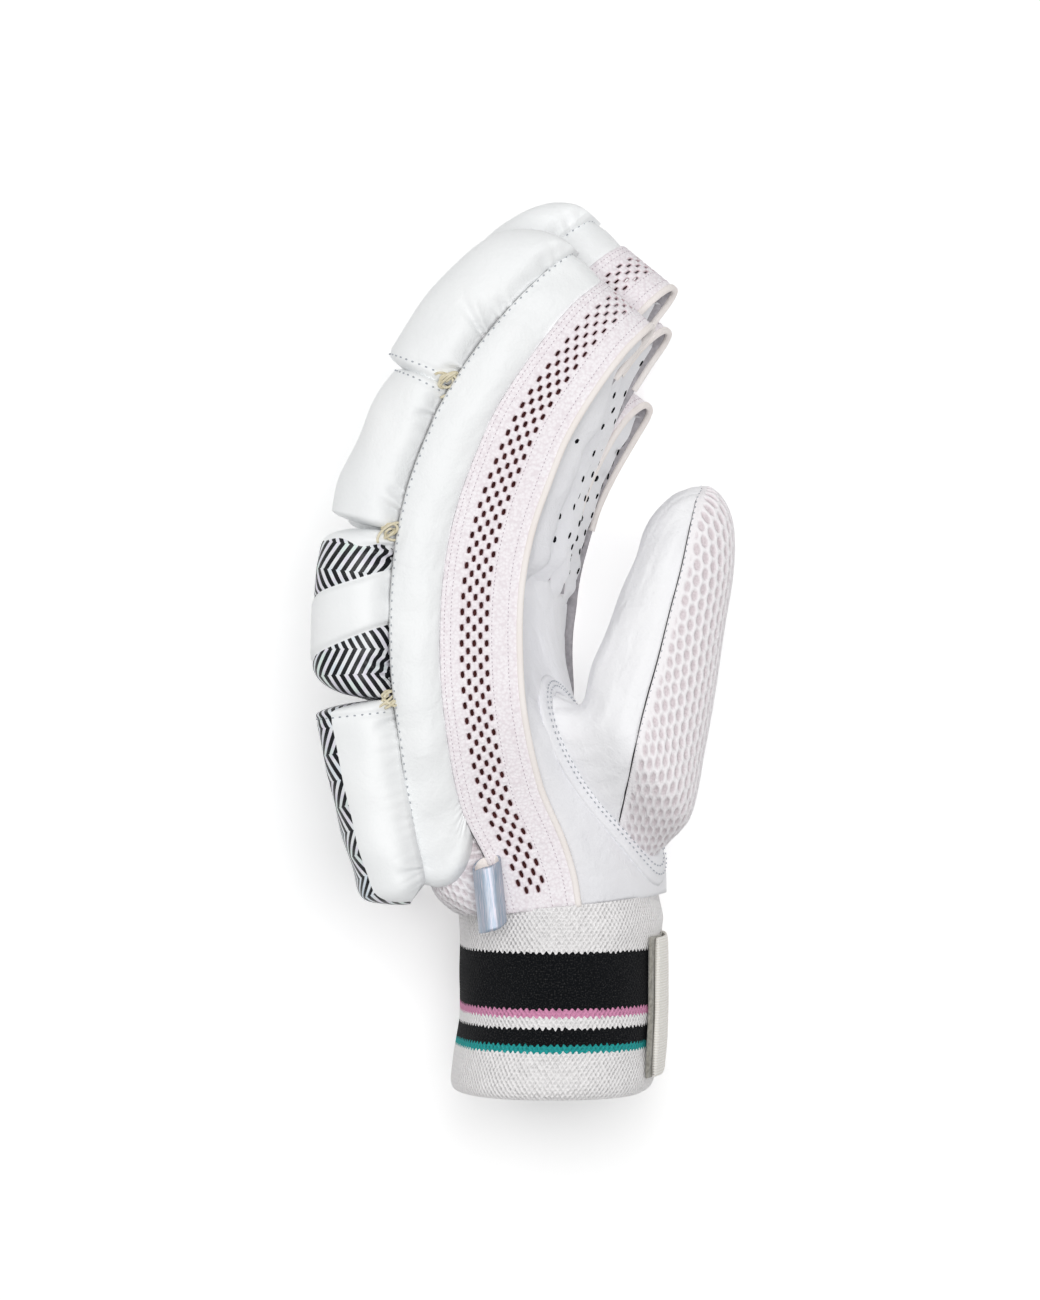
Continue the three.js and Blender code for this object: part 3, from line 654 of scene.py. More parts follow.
# Knit loops about 0.9 mm apart, with shade painted between them
loops = put(tree, "ShaderNodeTexVoronoi", None, {"Vector": where, "Scale": 1100.0})
loop_gap = put(tree, "ShaderNodeMapRange", None, {
    "Value": loops.outputs["Distance"], 1: 0.3, 2: 0.8, 3: 0.0, 4: 0.7})
knit_loop_painted_shade = put(tree, "ShaderNodeMix", {"data_type": "RGBA"}, {
    "Factor": loop_gap, 6: knit_light.outputs[2], 7: linear("#E9DFE4")})
# Round each hole the knit is painted mauve: painted shade, with a tinge of the red lining behind it
knit_tone = put(tree, "ShaderNodeMix", {"data_type": "RGBA"}, {
    "Factor": hole_rim_painted_shade, 6: knit_loop_painted_shade.outputs[2], 7: linear("#C9A9B0")})
loop_bump = put(tree, "ShaderNodeBump", None, {
    "Strength": 0.6, "Distance": 0.0003, "Height": loops.outputs["Distance"]})
end_material(tree, put(tree, "ShaderNodeBsdfPrincipled", None, {
    "Base Color": knit_tone.outputs[2], "Roughness": 0.9, "Sheen Weight": 0.2, "Normal": loop_bump}))
# Needle holes between the knit's loops: a soft mauve shade
needle_shade, tree = begin_material("needle_row_in_shade")
end_material(tree, put(tree, "ShaderNodeBsdfPrincipled", None, {
    "Base Color": linear("#C4B8C0"), "Roughness": 0.9}))
# The knit's brushed inner face: grey felt
felt_grey, *_ = fibre(
    "gusset_inner_brushed_felt", "#8D8A90", "#D2CED2", scale=700.0, detail=4.0, roughness=1.0)
# Towelling lining behind the open knit: dark wine red, lost in shade
lining_red, *_ = fibre(
    "inner_lining_wine_towelling", "#2A1014", "#8A4A48", scale=500.0, detail=3.0, roughness=1.0)
# Woven binding tape, faintly peach, its weave 0.7 mm apart
tape_peach, tree, shader, _ = fibre(
    "binding_tape_woven", "#FAF6F4", "#F3EAE4", scale=70.0, detail=2.0, roughness=0.85)
where = put(tree, "ShaderNodeTexCoord").outputs["Object"]
weave = put(tree, "ShaderNodeTexVoronoi", None, {"Vector": where, "Scale": 1500.0})
tape_bump = put(tree, "ShaderNodeBump", None, {
    "Strength": 0.4, "Distance": 0.0002, "Height": weave.outputs["Distance"]})
tree.links.new(tape_bump.outputs[0], shader.inputs["Normal"])

seam_gap = 0.35  # between a side wall and its gusset


def finger_way(finger, inset, starts):
    """Rise and level all round a finger's side: up one side, round the tip and down the other, by share
    of the way's length, which comes with them."""
    tip = tip_share(tip_length)
    straight = 1 - tip_share(inset) - tip
    up, down = np.linspace(starts[0], straight, 150), np.linspace(straight, starts[1], 150)

    def high(rise):
        return top_level(rise) if finger is index else 0 * rise + finger["level"] + column_half

    def low(rise):
        return 0 * rise if finger is little else 0 * rise + finger["level"] - column_half

    turn = np.linspace(0, math.pi, 81)[1:-1]
    top, bottom = high(straight) - inset, low(straight) + inset
    rise = np.concatenate([up, straight + tip * power(np.sin(turn), 0.8), down])
    level = np.concatenate([
        high(up) - inset, mix(bottom, top, 0.5 + 0.5 * power(np.cos(turn), 0.8)), low(down) + inset])
    points = hand_point(rise, 0, level, finger)
    length = np.concatenate([[0], np.cumsum(np.linalg.norm(np.diff(points, axis=0), axis=-1))])
    share = length / length[-1]
    return (lambda a: (np.interp(a, share, rise), np.interp(a, share, level))), length[-1]


def gusset_surface(finger, inset):
    starts = [first_rise if finger is outer else crotch_share for outer in (index, little)]
    way, length = finger_way(finger, inset, starts)

    def surface(a, b):
        rise, level = way(a)
        return hand_point(rise, seam_gap + gusset_width * side_at(rise)["gusset"] * b, level, finger)

    return surface, way, length


def closed_ends(points):
    """Closes a tube: all the points of an added first and last row lie at the middle of the end."""
    ends = [row.mean(1, keepdims=True).repeat(points.shape[1], 1) for row in (points[:1], points[-1:])]
    return np.concatenate([ends[0], points, ends[1]])


def tape(name, line, facing, material, slot, width, height):
    """A closed band laid along a line, with a rounded section."""
    ahead = np.gradient(line, axis=0)
    side = np.cross(facing, ahead)
    side /= np.linalg.norm(side, axis=-1, keepdims=True)
    section = []
    for t in np.linspace(0, 2 * math.pi, 13)[:-1]:
        across, up = power(math.cos(t), 0.7), power(math.sin(t), 0.7)
        section.append(line + side * width / 2 * across + facing * height / 2 * up)
    band = weld(sew(name, closed_ends(np.stack(section, 1)), ring_closed=True))
    fix_normals(band)
    dress(band, material, slot)


def fix_normals(piece):
    """Turns a closed mesh's faces outwards."""
    shape = bmesh.new()
    shape.from_mesh(piece.data)
    bmesh.ops.recalc_face_normals(shape, faces=shape.faces)
    shape.to_mesh(piece.data)
    shape.free()


cell_length, cell_columns, hole_columns = 2.35, 13, range(3, 8)
cell_corners = ((0, 0), (0, 1), (0, 2), (1, 2), (2, 2), (2, 1), (2, 0), (1, 0))
needle_rows = (0.05, 0.13, 0.64, 0.84)  # as shares of the gusset's width
for finger in fingers:
    surface, way, length = gusset_surface(finger, 0)
    inner_point = hand_middle if finger is index else hand_point(0.6, 12, finger["level"], finger)
    cell_rows = int(length / cell_length)
    rows, columns = 2 * cell_rows + 1, 2 * cell_columns + 1
    spots, faces, tone, lifts = [], [], [], []
    for i in range(rows):
        for j in range(columns):
            spots.append((i / (rows - 1), j / (columns - 1)))
            tone.append(0.0)
            # Every second loop stands up, less so towards the folded edge
            edge = min(1, 4 * (columns - 1 - j) / columns)
            lifts.append((0.16 if (i + j) % 2 else -0.04) * edge)
    for i in range(cell_rows):
        for j in range(cell_columns):
            around = [(2 * i + p) * columns + 2 * j + q for p, q in cell_corners]
            centre = (2 * i + 1) * columns + 2 * j + 1
            if j not in hole_columns or (i + j) % 2 or not 1 < i < cell_rows - 2:
                for q in range(0, 8, 2):
                    faces.append((around[q - 1], around[q], around[q + 1], centre))
                continue
            # The holes draw together over the fingertip
            rise, _ = way((i + 0.5) / cell_rows)
            open_share = mix(1.0, 0.62, smooth((rise - 0.86) / 0.1))
            start = len(spots)
            at_a, at_b = spots[centre]
            for q in range(8):
                t = math.radians(45 * q + 45)
                spots.append((
                    at_a - math.sin(t) * 0.92 / (rows - 1) * mix(0.8, 1.0, open_share),
                    at_b - math.cos(t) * 0.62 / (columns - 1) * open_share))
                # The hole's rim points carry the painted shade
                tone.append(0.85)
                lifts.append(-0.12)
                faces.append((around[q], around[(q + 1) % 8], start + (q + 1) % 8, start + q))
    spots = np.array(spots)
    points, _ = laid(surface, spots[:, 0], spots[:, 1], np.array(lifts), inner_point)
    mesh = bpy.data.meshes.new(f"{finger['name']}_gusset_knit")
    mesh.from_pydata((points * 0.001).tolist(), [], faces)
    mesh.attributes.new("cell", "FLOAT", "POINT").data.foreach_set("value", tone)
    mesh.polygons.foreach_set("use_smooth", [True] * len(mesh.polygons))
    gusset = bpy.data.objects.new(mesh.name, mesh)
    scene.collection.objects.link(gusset)
    shape = bmesh.new()
    shape.from_mesh(mesh)
    bmesh.ops.delete(shape, geom=[v for v in shape.verts if not v.link_faces], context="VERTS")
    heart = Vector(inner_point * 0.001)
    if sum(f.normal.dot(f.calc_center_median() - heart) for f in shape.faces) < 0:
        bmesh.ops.reverse_faces(shape, faces=shape.faces)
    shape.to_mesh(mesh)
    shape.free()
    dress(thicken(gusset, 0.9, 1), knit_white, "gusset_knit", f"{finger['name']}_gusset")
    mesh.materials.append(felt_grey)

    under, _, _ = gusset_surface(finger, 3.0)
    a, b = grid(np.linspace(0, 1, 120), np.linspace(0.06, 0.72, 8))
    points, _ = laid(under, a, b, 0.3 * crumple(a * length, b * 16, 9, 5), inner_point)
    back = sew(f"{finger['name']}_gusset_lining", points, inside=inner_point)
    dress(thicken(back, 0.6), lining_red, "gusset_knit")

    # Between the fingers the front leather hides the binding, up to the fingertip
    bound = np.linspace(0, 1, 400)
    rise, level = way(bound)
    on_top = (level > finger["level"]) | (rise < crotch_share)
    bound = bound[(rise > (0.75 if finger is little else 0.92)) | ((finger is index) & on_top)]
    line, facing_out = laid(surface, bound, np.full(len(bound), 0.985), -0.45, inner_point)
    tape(f"{finger['name']}_gusset_binding", line, facing_out, tape_peach, "gusset_knit",
         width=2.0, height=1.9)
    whole = np.linspace(0, 1, 200)
    rows = [laid(surface, whole, np.full(200, share), 0.12, inner_point) for share in needle_rows]
    stitch(f"{finger['name']}_gusset_needling", rows, needle_shade,
           pitch=1.175, length=0.7, width=0.3, height=0.2)


# Side walls
# A folded strip of white leather joins each finger's pads to its knit. On the two outer sides of the
# glove it is filled with foam, and ends over the wrist in a rounded lobe.

# Sealed full-grain leather: whiter and smoother than the palm, with a dull shine
hide_white, *_ = leather(
    "white_leather_full_grain_sealed", "#FAFBFB", "#F1F3F4", roughness=0.5, grain=0.28, crease=0.4)
# The lobe's lowest place and its height at the gusset, as shares of the rise
lobe_low, lobe_rise = 0.046, 0.078
wall_leather = 1.3


def on_thumb_side(finger, rise, level):
    """Where a finger's side wall is the one nearer the thumb."""
    return (level > finger["level"]) | ((finger is index) & (rise < crotch_share))


def bar_surface(finger, way):
    def surface(a, b):
        rise, level = way(a)
        is_top = on_thumb_side(finger, rise, level)
        outer = np.where(is_top, finger is index, finger is little)
        ending = 1 - smooth((rise - lobe_low) / 0.16)
        lobe = outer * (lobe_rise * b**2.4 + 0.03 * (1 - b) ** 5) * ending
        widening = np.where(is_top & (finger is index), top_level(rise + lobe) - top_level(rise), 0)
        out = mix(-bar_width * side_at(rise)["bar"], 0.6, b)
        return hand_point(rise + lobe, out, level + widening, finger)

    return surface


for finger in fingers:
    starts = [lobe_low if finger is outer else crotch_share for outer in (index, little)]
    way, length = finger_way(finger, 0, starts)
    surface = bar_surface(finger, way)
    inner_point = hand_middle if finger in (index, little) else hand_point(0.6, 0, finger["level"], finger)
    step = 0.9 if finger is index else 1.4
    a, b = grid(np.linspace(0, 1, int(length / step)), np.linspace(0, 1, 26))
    rise, level = way(a)
    is_top = on_thumb_side(finger, rise, level)
    # The floor presses the little finger's foam flat, so only the thumb side swells, up to the fingertip
    filled = (is_top & (finger is index)) * (1 - smooth((rise - 0.85) / 0.12))
    end = np.where(is_top, a, 1 - a) * length
    round_end = np.sqrt(1 - (1 - np.clip(end / 8.0, 0, 1)) ** 2) if finger is index else 1.0
    swell = np.sin(math.pi * mix(0.05, 1.0, b)) ** 0.6
    lift = (0.9 + 2.4 * filled) * swell - 0.8
    lift = lift + 0.3 * crumple(end, b * 14, 16, 8) * swell + 0.2 * crumple(end, b * 30, 6, 9) * (1 - swell)
    # The leather puckers at the pad seam and gathers over the lobe
    puckers = np.exp(-((b / 0.16) ** 2)) * np.sin(end * 2.6 + 2 * np.sin(end * 0.31))
    lift = lift + 0.16 * puckers * smooth(end / 8)
    gathers = np.exp(-((end - 14) / 12) ** 2) * np.exp(-((b - 0.95) / 0.14) ** 2)
    lift = lift + 0.3 * gathers * np.sin(end * 1.7 + 1.3 * np.sin(end * 0.5)) * filled
    lift = mix(-4.5, lift, round_end)
    points, _ = laid(surface, a, b, lift, inner_point)
    points[..., 2] = np.maximum(points[..., 2], 0)
    wall = thicken(sew(f"{finger['name']}_side_leather", points, inside=inner_point), wall_leather)
    dress(wall, hide_white, "white_leather", f"{finger['name']}_side_wall")
    sewn_at = np.linspace(0.02, 0.98, 500)
    sewn_lift = np.interp(sewn_at, a[:, 0], lift[:, 1]) + 0.15
    line = laid(surface, sewn_at, np.full(500, b[0, 1]), sewn_lift, inner_point)
    stitch(f"{finger['name']}_pad_seam", [line], thread_grey,
           pitch=2.4, length=0.85, width=0.55, height=0.45)


# Pads
# Four foam rolls sit on each finger's back, each sewn up in its own leather and tied down between its
# neighbours. Knuckle and back pads carry a printed film; plain bands of white leather cross them.

# The side walls' leather under a printed film: smoother, with black bars on pale silver
hide_print, tree, shader, white_tone = leather(
    "printed_leather_film_herringbone", "#FAFBFB", "#F1F3F4", roughness=0.42, grain=0.15, crease=0.2)
cloth = put(tree, "ShaderNodeUVMap", {"uv_map": "cloth"})
split = put(tree, "ShaderNodeSeparateXYZ", None, {"Vector": cloth})
# Herringbone: columns 6.5 mm wide, bars 3 mm apart that turn at each column and step by half a bar
column = put(tree, "ShaderNodeMath", {"operation": "DIVIDE"}, {0: split.outputs["Y"], 1: 6.5})
whole = put(tree, "ShaderNodeMath", {"operation": "FLOOR"}, {0: column})
odd = put(tree, "ShaderNodeMath", {"operation": "MODULO"}, {0: whole, 1: 2.0})
odd_way = put(tree, "ShaderNodeMath", {"operation": "MULTIPLY_ADD"}, {0: odd, 1: 2.0, 2: -1.0})
inside_column = put(tree, "ShaderNodeMath", {"operation": "FRACT"}, {0: column})
slant = put(tree, "ShaderNodeMath", {"operation": "MULTIPLY"}, {
    0: inside_column, 1: odd_way})
slant_mm = put(tree, "ShaderNodeMath", {"operation": "MULTIPLY_ADD"}, {
    0: slant, 1: 4.2, 2: split.outputs["X"]})
bars = put(tree, "ShaderNodeMath", {"operation": "MULTIPLY_ADD"}, {
    0: slant_mm, 1: 1 / 2.6, 2: odd})
half_step = put(tree, "ShaderNodeMath", {"operation": "MULTIPLY_ADD"}, {
    0: odd, 1: -0.5, 2: bars})
bar_share = put(tree, "ShaderNodeMath", {"operation": "FRACT"}, {0: half_step})
is_black = put(tree, "ShaderNodeMath", {"operation": "GREATER_THAN"}, {0: bar_share, 1: 0.46})
# The silver film takes a faint blue, violet or green from place to place
where = put(tree, "ShaderNodeTexCoord").outputs["Object"]
tint_noise = put(tree, "ShaderNodeTexNoise", None, {"Vector": where, "Scale": 120.0, "Detail": 1.0})
tint = put(tree, "ShaderNodeValToRGB", None, {"Fac": tint_noise.outputs["Fac"]})
for place, code in ((0.3, "#DCE6EE"), (0.45, "#EDEFF1"), (0.55, "#E4E0EC"), (0.7, "#DDEBE6")):
    stop = tint.color_ramp.elements.new(place)
    stop.color = linear(code)
film = put(tree, "ShaderNodeMix", {"data_type": "RGBA"}, {
    "Factor": is_black, 6: tint.outputs["Color"], 7: linear("#15171B")})
panel = put(tree, "ShaderNodeAttribute", {"attribute_name": "panel"}).outputs["Fac"]
is_panel = put(tree, "ShaderNodeMath", {"operation": "MULTIPLY", "use_clamp": True}, {0: panel, 1: 6.0})
face = put(tree, "ShaderNodeMix", {"data_type": "RGBA"}, {
    "Factor": is_panel, 6: white_tone.outputs[2], 7: film.outputs[2]})
tree.links.new(face.outputs[2], shader.inputs["Base Color"])

pad_crown = 21.0
# low, high: shares of the rise. low_crown, high_crown: of the crown's height at either end. low_end,
# high_end: how far the ends round over, as shares of the crown. lean: how much higher the low end's root
# lies than its crown, as a share of the rise. square: from a round roll, 0, to a square bar, 1.
pad_columns = (
    "name", "low", "high", "low_crown", "high_crown", "low_end", "high_end", "lean", "square", "fill")
pad_rows = [
    ("tip_pad", 0.784, 1.004, 0.98, 1.0, 0.1, 0.85, 0.011, 0.35, 0.85),
    ("middle_pad", 0.589, 0.7925, 0.97, 0.8, 0.1, 0.1, 0.0, 0.35, 0.85),
    ("knuckle_pad", 0.352, 0.5875, 1.08, 1.02, 0.5, 0.3, 0.0, 0.75, 0.9),
    ("back_pad", 0.04, 0.35, 0.86, 1.12, 0.55, 0.14, 0.034, 0.75, 0.9),
]
# Pleats from the seam: start, mm from the pad's low end; long, their length; slope; deep, of pleat_depth
pleat_depth = 1.7
pleat_rows = {
    "tip_pad": [(14.7, 13.0, 0.3, 0.9), (19.5, 7.0, 0.15, 0.6), (22.8, 5.0, 0.05, 0.5),
                (34.5, 5.0, 0.3, 0.5), (37.0, 12.0, 0.3, 0.6), (4.5, 5.0, -0.3, 0.5)],
    "middle_pad": [(5.0, 8.0, 0.2, 0.6), (9.0, 5.0, 0.1, 0.45), (30.0, 6.0, -0.25, 0.5)],
    "knuckle_pad": [(5.0, 9.0, 0.3, 0.8), (9.0, 6.0, 0.15, 0.6), (37.0, 8.0, -0.2, 0.7),
                    (40.0, 14.0, -0.15, 0.7)],
    "back_pad": [(52.0, 7.0, -0.35, 0.5), (7.0, 7.0, 0.35, 0.5), (24.0, 4.0, 0.1, 0.3)],
}
# The knuckle pad's white band and the end of its print, in mm from its low end
band_slope, band_low, band_high, print_high = 0.34, 19.5, 34.0, 39.6
base_steps = 6  # points across a pad's flat underside
for finger in fingers:
    for row in pad_rows:
        pad = dict(zip(pad_columns, row))
        name = f"{finger['name']}_{pad['name']}"
        printed = pad["square"] > 0.5
        middle_tip = finger is middle and pad["name"] == "tip_pad"
        rows_along, rows_around = (130, 76) if finger is index or middle_tip else (60, 44)
        span = (pad["high"] - pad["low"]) * hand_rise
        share = mix(0.002, 0.998, 0.5 - 0.5 * np.cos(math.pi * np.linspace(0.0, 1.0, rows_along)))
        # Both ends round over
        roll = []
        for part, size in ((share, pad["low_end"]), (1 - share, pad["high_end"])):
            into = 1 - np.clip(part * span / (size * pad_crown), 0, 1)
            roll.append((1 - into**2.3) ** (1 / 2.3))
        full = roll[0] * roll[1]
        half = column_half * mix(0.82, 1, full)
        low_half = (finger["level"] + 5.0) * mix(0.82, 1, full) if finger is little else half
        crown = pad_crown * mix(pad["low_crown"], pad["high_crown"], share) * (0.86 if middle_tip else 1.0)
        crown = np.maximum(crown * full, 0.6)
        bulge = mix(0.8, 0.42, pad["square"])
        # Points at even steps round each section
        half_turn = np.linspace(0, math.pi, 1201)
        heights, widths = power(np.sin(half_turn), bulge), power(np.cos(half_turn), bulge)
        height, width, around = (np.empty((len(share), rows_around)) for _ in range(3))
        for k in range(len(share)):
            run = np.hypot(np.diff(heights) * crown[k], np.diff(widths) * half[k])
            run = np.concatenate([[0], np.cumsum(run)])
            around[k] = np.linspace(0, run[-1], rows_around)
            height[k] = np.interp(around[k], run, heights)
            width[k] = np.interp(around[k], run, widths)
        plain_rise = mix(pad["low"], pad["high"], share)[:, None]
        rise = plain_rise + pad["lean"] * (1 - share[:, None]) ** 3 * (1 - height)
        base = bar_width * side_at(rise)["bar"] + 0.4
        side = np.where(width < 0, low_half[:, None], half[:, None])
        depth = height * crown[:, None]
        pinch = 1.7 * np.exp(-((depth / 3.2) ** 2)) * np.sign(width)
        level = finger["level"] + side * width - pinch
        if finger is index:
            bulging = np.sin(math.pi * np.clip(height, 0, 1) ** 0.8) * smooth(width * 3)
            level = level + 2.2 * bulging * full[:, None]
        points = hand_point(rise, -base - depth, level, finger)
        along = share[:, None] * span + 0 * around
        facing_out = np.cross(np.gradient(points, axis=0), np.gradient(points, axis=1))
        facing_out /= np.linalg.norm(facing_out, axis=-1, keepdims=True) + 1e-9
        if (facing_out * (points - points.mean((0, 1)))).sum() < 0:
            facing_out = -facing_out
        seed = len(finger["name"]) * 10 + len(pad["name"])
        near = np.minimum(around, around[:, -1:] - around)
        lift = 0.3 * crumple(along, around, 17, seed)
        lift += 0.35 * np.abs(crumple(along, around * 0.25, 6, seed + 1)) * np.exp(-((near / 5) ** 2)) - 0.1
        for start, long, slope, deep in pleat_rows[pad["name"]]:
            for edge in (around, around[:, -1:] - around):
                off = along - start - slope * edge
                reach = np.clip(edge / long, 0, 1.2)
                wide = 0.5 + 1.0 * reach
                fade = np.clip(1 - reach, 0, 1) ** 0.7
                fold = 0.55 * np.exp(-(((off - 2 * wide) / wide) ** 2)) - np.exp(-((off / wide) ** 2))
                lift += pleat_depth * deep * fade * fold
        # Seams run just inside the ends where two pads meet
        seams = {"tip_pad": [1.9], "middle_pad": [span - 1.9], "knuckle_pad": [], "back_pad": [span - 3.5]}
        seams = seams[pad["name"]]
        for line_at in seams:
            lift -= 0.4 * np.exp(-(((along - line_at) / 0.9) ** 2))
        slanted = along + band_slope * near
        if pad["name"] == "knuckle_pad":
            # Two seams cross the roll, where the white band is let in
            for line_at in (band_high, band_low):
                lift -= 0.5 * np.exp(-(((slanted - line_at) / 0.7) ** 2))
            lift += 0.6 * smooth((slanted - band_low) / 1.5) * smooth((band_high - slanted) / 1.5)
        lift = lift * full[:, None] ** 2
        points = points + facing_out * lift[..., None]
        for line_at in seams:
            k = int(np.argmin(np.abs(share * span - line_at)))
            line = (points[k, 3:-3] + 0.15 * facing_out[k, 3:-3], facing_out[k, 3:-3])
            stitch(f"{name}_end_seam", [line], thread_grey,
                   pitch=2.2, length=0.9, width=0.6, height=0.45)
        base_share = np.linspace(0, 1, base_steps + 2)[None, 1:-1]
        base_level = mix(level[:, -1:], level[:, :1], base_share)
        base_rise = mix(rise[:, -1:], rise[:, :1], base_share)
        under = hand_point(base_rise, -mix(base[:, -1:], base[:, :1], base_share) + 1.0, base_level, finger)
        points = np.concatenate([points, under], 1)
        points[..., 2] = np.maximum(points[..., 2], 0)
        wrap = np.concatenate([around, around[:, -1:].repeat(base_steps + 1, 1)], 1)
        uv = np.stack([wrap, along[:, :1].repeat(wrap.shape[1], 1)], -1)
        uv = np.concatenate([uv[:1], uv, uv[-1:]])
        if pad["name"] == "knuckle_pad":
            upper = np.minimum(slanted - band_high, print_high - along + 0.6 * np.sin(0.5 * near))
            panel = np.maximum(upper, band_low - slanted)
        elif pad["name"] == "back_pad":
            panel = (height - 0.79) * 40
        else:
            panel = -5 + 0 * around
        panel = np.concatenate([panel, np.full((len(panel), base_steps), -5.0)], 1)
        panel = np.concatenate([panel[:1], panel, panel[-1:]])
        points = closed_ends(points)
        piece = weld(sew(f"{name}_roll", points, ring_closed=True, uv=uv, values={"panel": panel}))
        fix_normals(piece)
        finish, slot = (hide_print, "patterned_leather") if printed else (hide_white, "white_leather")
        dress(piece, finish, slot, name)


# Thumb
# A tube sewn from two halves, soft leather towards the fingers and spacer mesh over the back, let into
# an oval hole of the palm. The palm's edge laps over its root and is held by two rows of stitches.
thumb_length, thumb_depth, thumb_level = 102.0, 17.0, hand_width - 20.0
thumb_root = np.array([5.0, wrist_height + 23.5])
# Rings from root to tip: the edge towards the fingers, the edge away from them, both as shares of the
# length from the root, and half the depth as a share of thumb_depth
thumb_rows = [
    (0.03, 0.37, 0.33, 0.05, 1.0),
    (0.06, 0.49, 0.375, 0.25, 1.0),
    (0.1, 0.58, 0.405, 0.42, 0.98),
    (0.14, 0.68, 0.43, 0.59, 0.95),
    (0.18, 0.78, 0.455, 0.745, 0.9),
    (0.215, 0.87, 0.46, 0.85, 0.8),
    (0.25, 0.93, 0.45, 0.92, 0.66),
    (0.295, 0.975, 0.425, 0.97, 0.45),
    (0.345, 0.995, 0.395, 0.997, 0.2),
]


def thumb_hole(turn, grow=0.0, depth=0.0):
    """A point of the thumb's oval seam on the palm. grow widens the oval, in millimetres."""
    palm_girth = 116.0
    rise = 0.195 - (0.15 + grow / hand_rise) * np.cos(turn)
    return palm_point(rise, 0.338 - (0.147 + grow / palm_girth) * np.sin(turn), depth)


def thumb_ring(order, turn):
    if order == 0:
        return thumb_hole(turn - math.radians(25) * (1 + np.sin(turn)), 0, 0.35)
    near_x, near_y, back_x, back_y, depth = thumb_rows[min(order, len(thumb_rows)) - 1]
    near_edge = np.array([near_x, near_y]) * thumb_length + thumb_root
    back_edge = np.array([back_x, back_y]) * thumb_length + thumb_root
    centre, reach = (near_edge + back_edge) / 2, (back_edge - near_edge) / 2
    if order > len(thumb_rows):
        return np.stack([centre[0] + 0 * turn, centre[1] + 1.2 + 0 * turn, thumb_level + 0 * turn], -1)
    out, up = power(np.cos(turn), 0.9), power(np.sin(turn), 0.9)
    level = thumb_level + thumb_depth * depth * up
    return np.stack([centre[0] + reach[0] * out, centre[1] + reach[1] * out, level], -1)


def thumb_surface(start, stop):
    """Half of the thumb, between two directions round it, in degrees from its back edge."""

    def surface(a, b):
        key, turn = a * (len(thumb_rows) + 1), np.radians(mix(start, stop, b))
        rings = np.stack([thumb_ring(order, turn) for order in range(len(thumb_rows) + 2)])
        at = np.clip(np.floor(key).astype(int), 0, len(thumb_rows))

        def ring_at(order):
            order = np.clip(order, 0, len(thumb_rows) + 1)
            return np.take_along_axis(rings, order[None, ..., None], 0)[0]

        t = (key - at)[..., None]
        p, q, r, s = (ring_at(at + k) for k in (-1, 0, 1, 2))
        bow, twist = 2 * p - 5 * q + 4 * r - s, 3 * q - p - 3 * r + s
        return 0.5 * (2 * q + (r - p) * t + bow * t**2 + twist * t**3)

    return surface


thumb_middle = np.array([30.0, 100.0, thumb_level])
# The palm's sheepskin, a shade whiter on the thumb: painted light, as the thumb's front gets less light
thumb_hide_painted_lighter, *_ = leather(
    "thumb_sheepskin_painted_lighter", "#FDFDFE", "#F5F5F8", roughness=0.6, grain=0.3, crease=0.6)
halves = [
    ("thumb_front_leather", thumb_surface(94, 266), thumb_hide_painted_lighter, "palm_leather", "thumb_leather"),
    ("thumb_back_mesh", thumb_surface(-93, 93), spacer_mesh, "spacer_mesh", "thumb_mesh"),
]
for name, surface, material, slot, node in halves:
    meshy = material is spacer_mesh
    steps_along, steps_round = (245, 150) if meshy else (130, 70)
    a, b = grid(np.linspace(0, 1, steps_along), np.linspace(0, 1, steps_round))
    u, v = lengths(surface(a, b))
    u, v = u - u[:, -1:] / 2, v[:, v.shape[1] // 2][:, None] + 0 * u
    from_seam = u[:, -1:] - np.abs(u)
    lift = 0.7 * smooth(from_seam / 5) - 0.3 * np.exp(-((from_seam / 1.1) ** 2))
    if meshy:
        cells = cell_share(u, v) * smooth((from_seam - 1.6) / 1.2)
        lift = lift - 0.75 * cells
    else:
        cells = 0 * u
        lift = lift + 0.09 * crumple(u * 2.2, v * 0.35, 9, 31) + 0.3 * crumple(u, v, 15, 32)
        root = np.exp(-((v / 13) ** 2))
        lift = lift + 0.25 * root * np.sin(u * 0.9 + 0.2 * v) * smooth(v / 3)
    points, _ = laid(surface, a, b, lift * smooth((1 - a) * 12) * smooth(a * 25), thumb_middle)
    half = weld(sew(name, points, uv=np.stack([u, v], -1), values={"cell": cells}, inside=thumb_middle))
    dress(thicken(half, 1.3), material, slot, node)
    if meshy:
        for at_b, label in ((0.006, "far"), (0.994, "near")):
            line = laid(surface, np.linspace(0.05, 0.985, 160), np.full(160, at_b), -0.35, thumb_middle)
            stitch(f"thumb_seam_{label}", [line], thread_grey,
                   pitch=2.0, length=0.9, width=0.5, height=0.4)

# The welt thins out from the hole's edge to the palm
turns = np.linspace(0, 2 * math.pi, 121)
welt_columns = []
for share in np.linspace(0, 1, 9):
    height = 0.5 + 0.9 * (1 - share) ** 0.5 + 0.4 * math.sin(share * math.pi)
    welt_columns.append(thumb_hole(turns, mix(-1.0, 5.6, share), -height))
welt = weld(sew("thumb_root_welt", np.stack(welt_columns, 1), inside=hand_middle))
dress(thicken(welt, 0.9), palm_hide, "palm_leather")
stitch_height = 1.7
rows = []
for grow in (1.5, 3.3):
    points = thumb_hole(turns, grow, -stitch_height)
    inner, ahead = thumb_hole(turns, grow - 1, -stitch_height), np.gradient(points, axis=0)
    ways = np.cross(ahead, inner - points)
    ways /= np.linalg.norm(ways, axis=-1, keepdims=True)
    if (ways * (points - hand_middle)).sum() < 0:
        ways = -ways
    rows.append((points, ways))
stitch("thumb_root_stitches", rows, thread_grey, pitch=1.9, length=1.0, width=0.5, height=0.4)


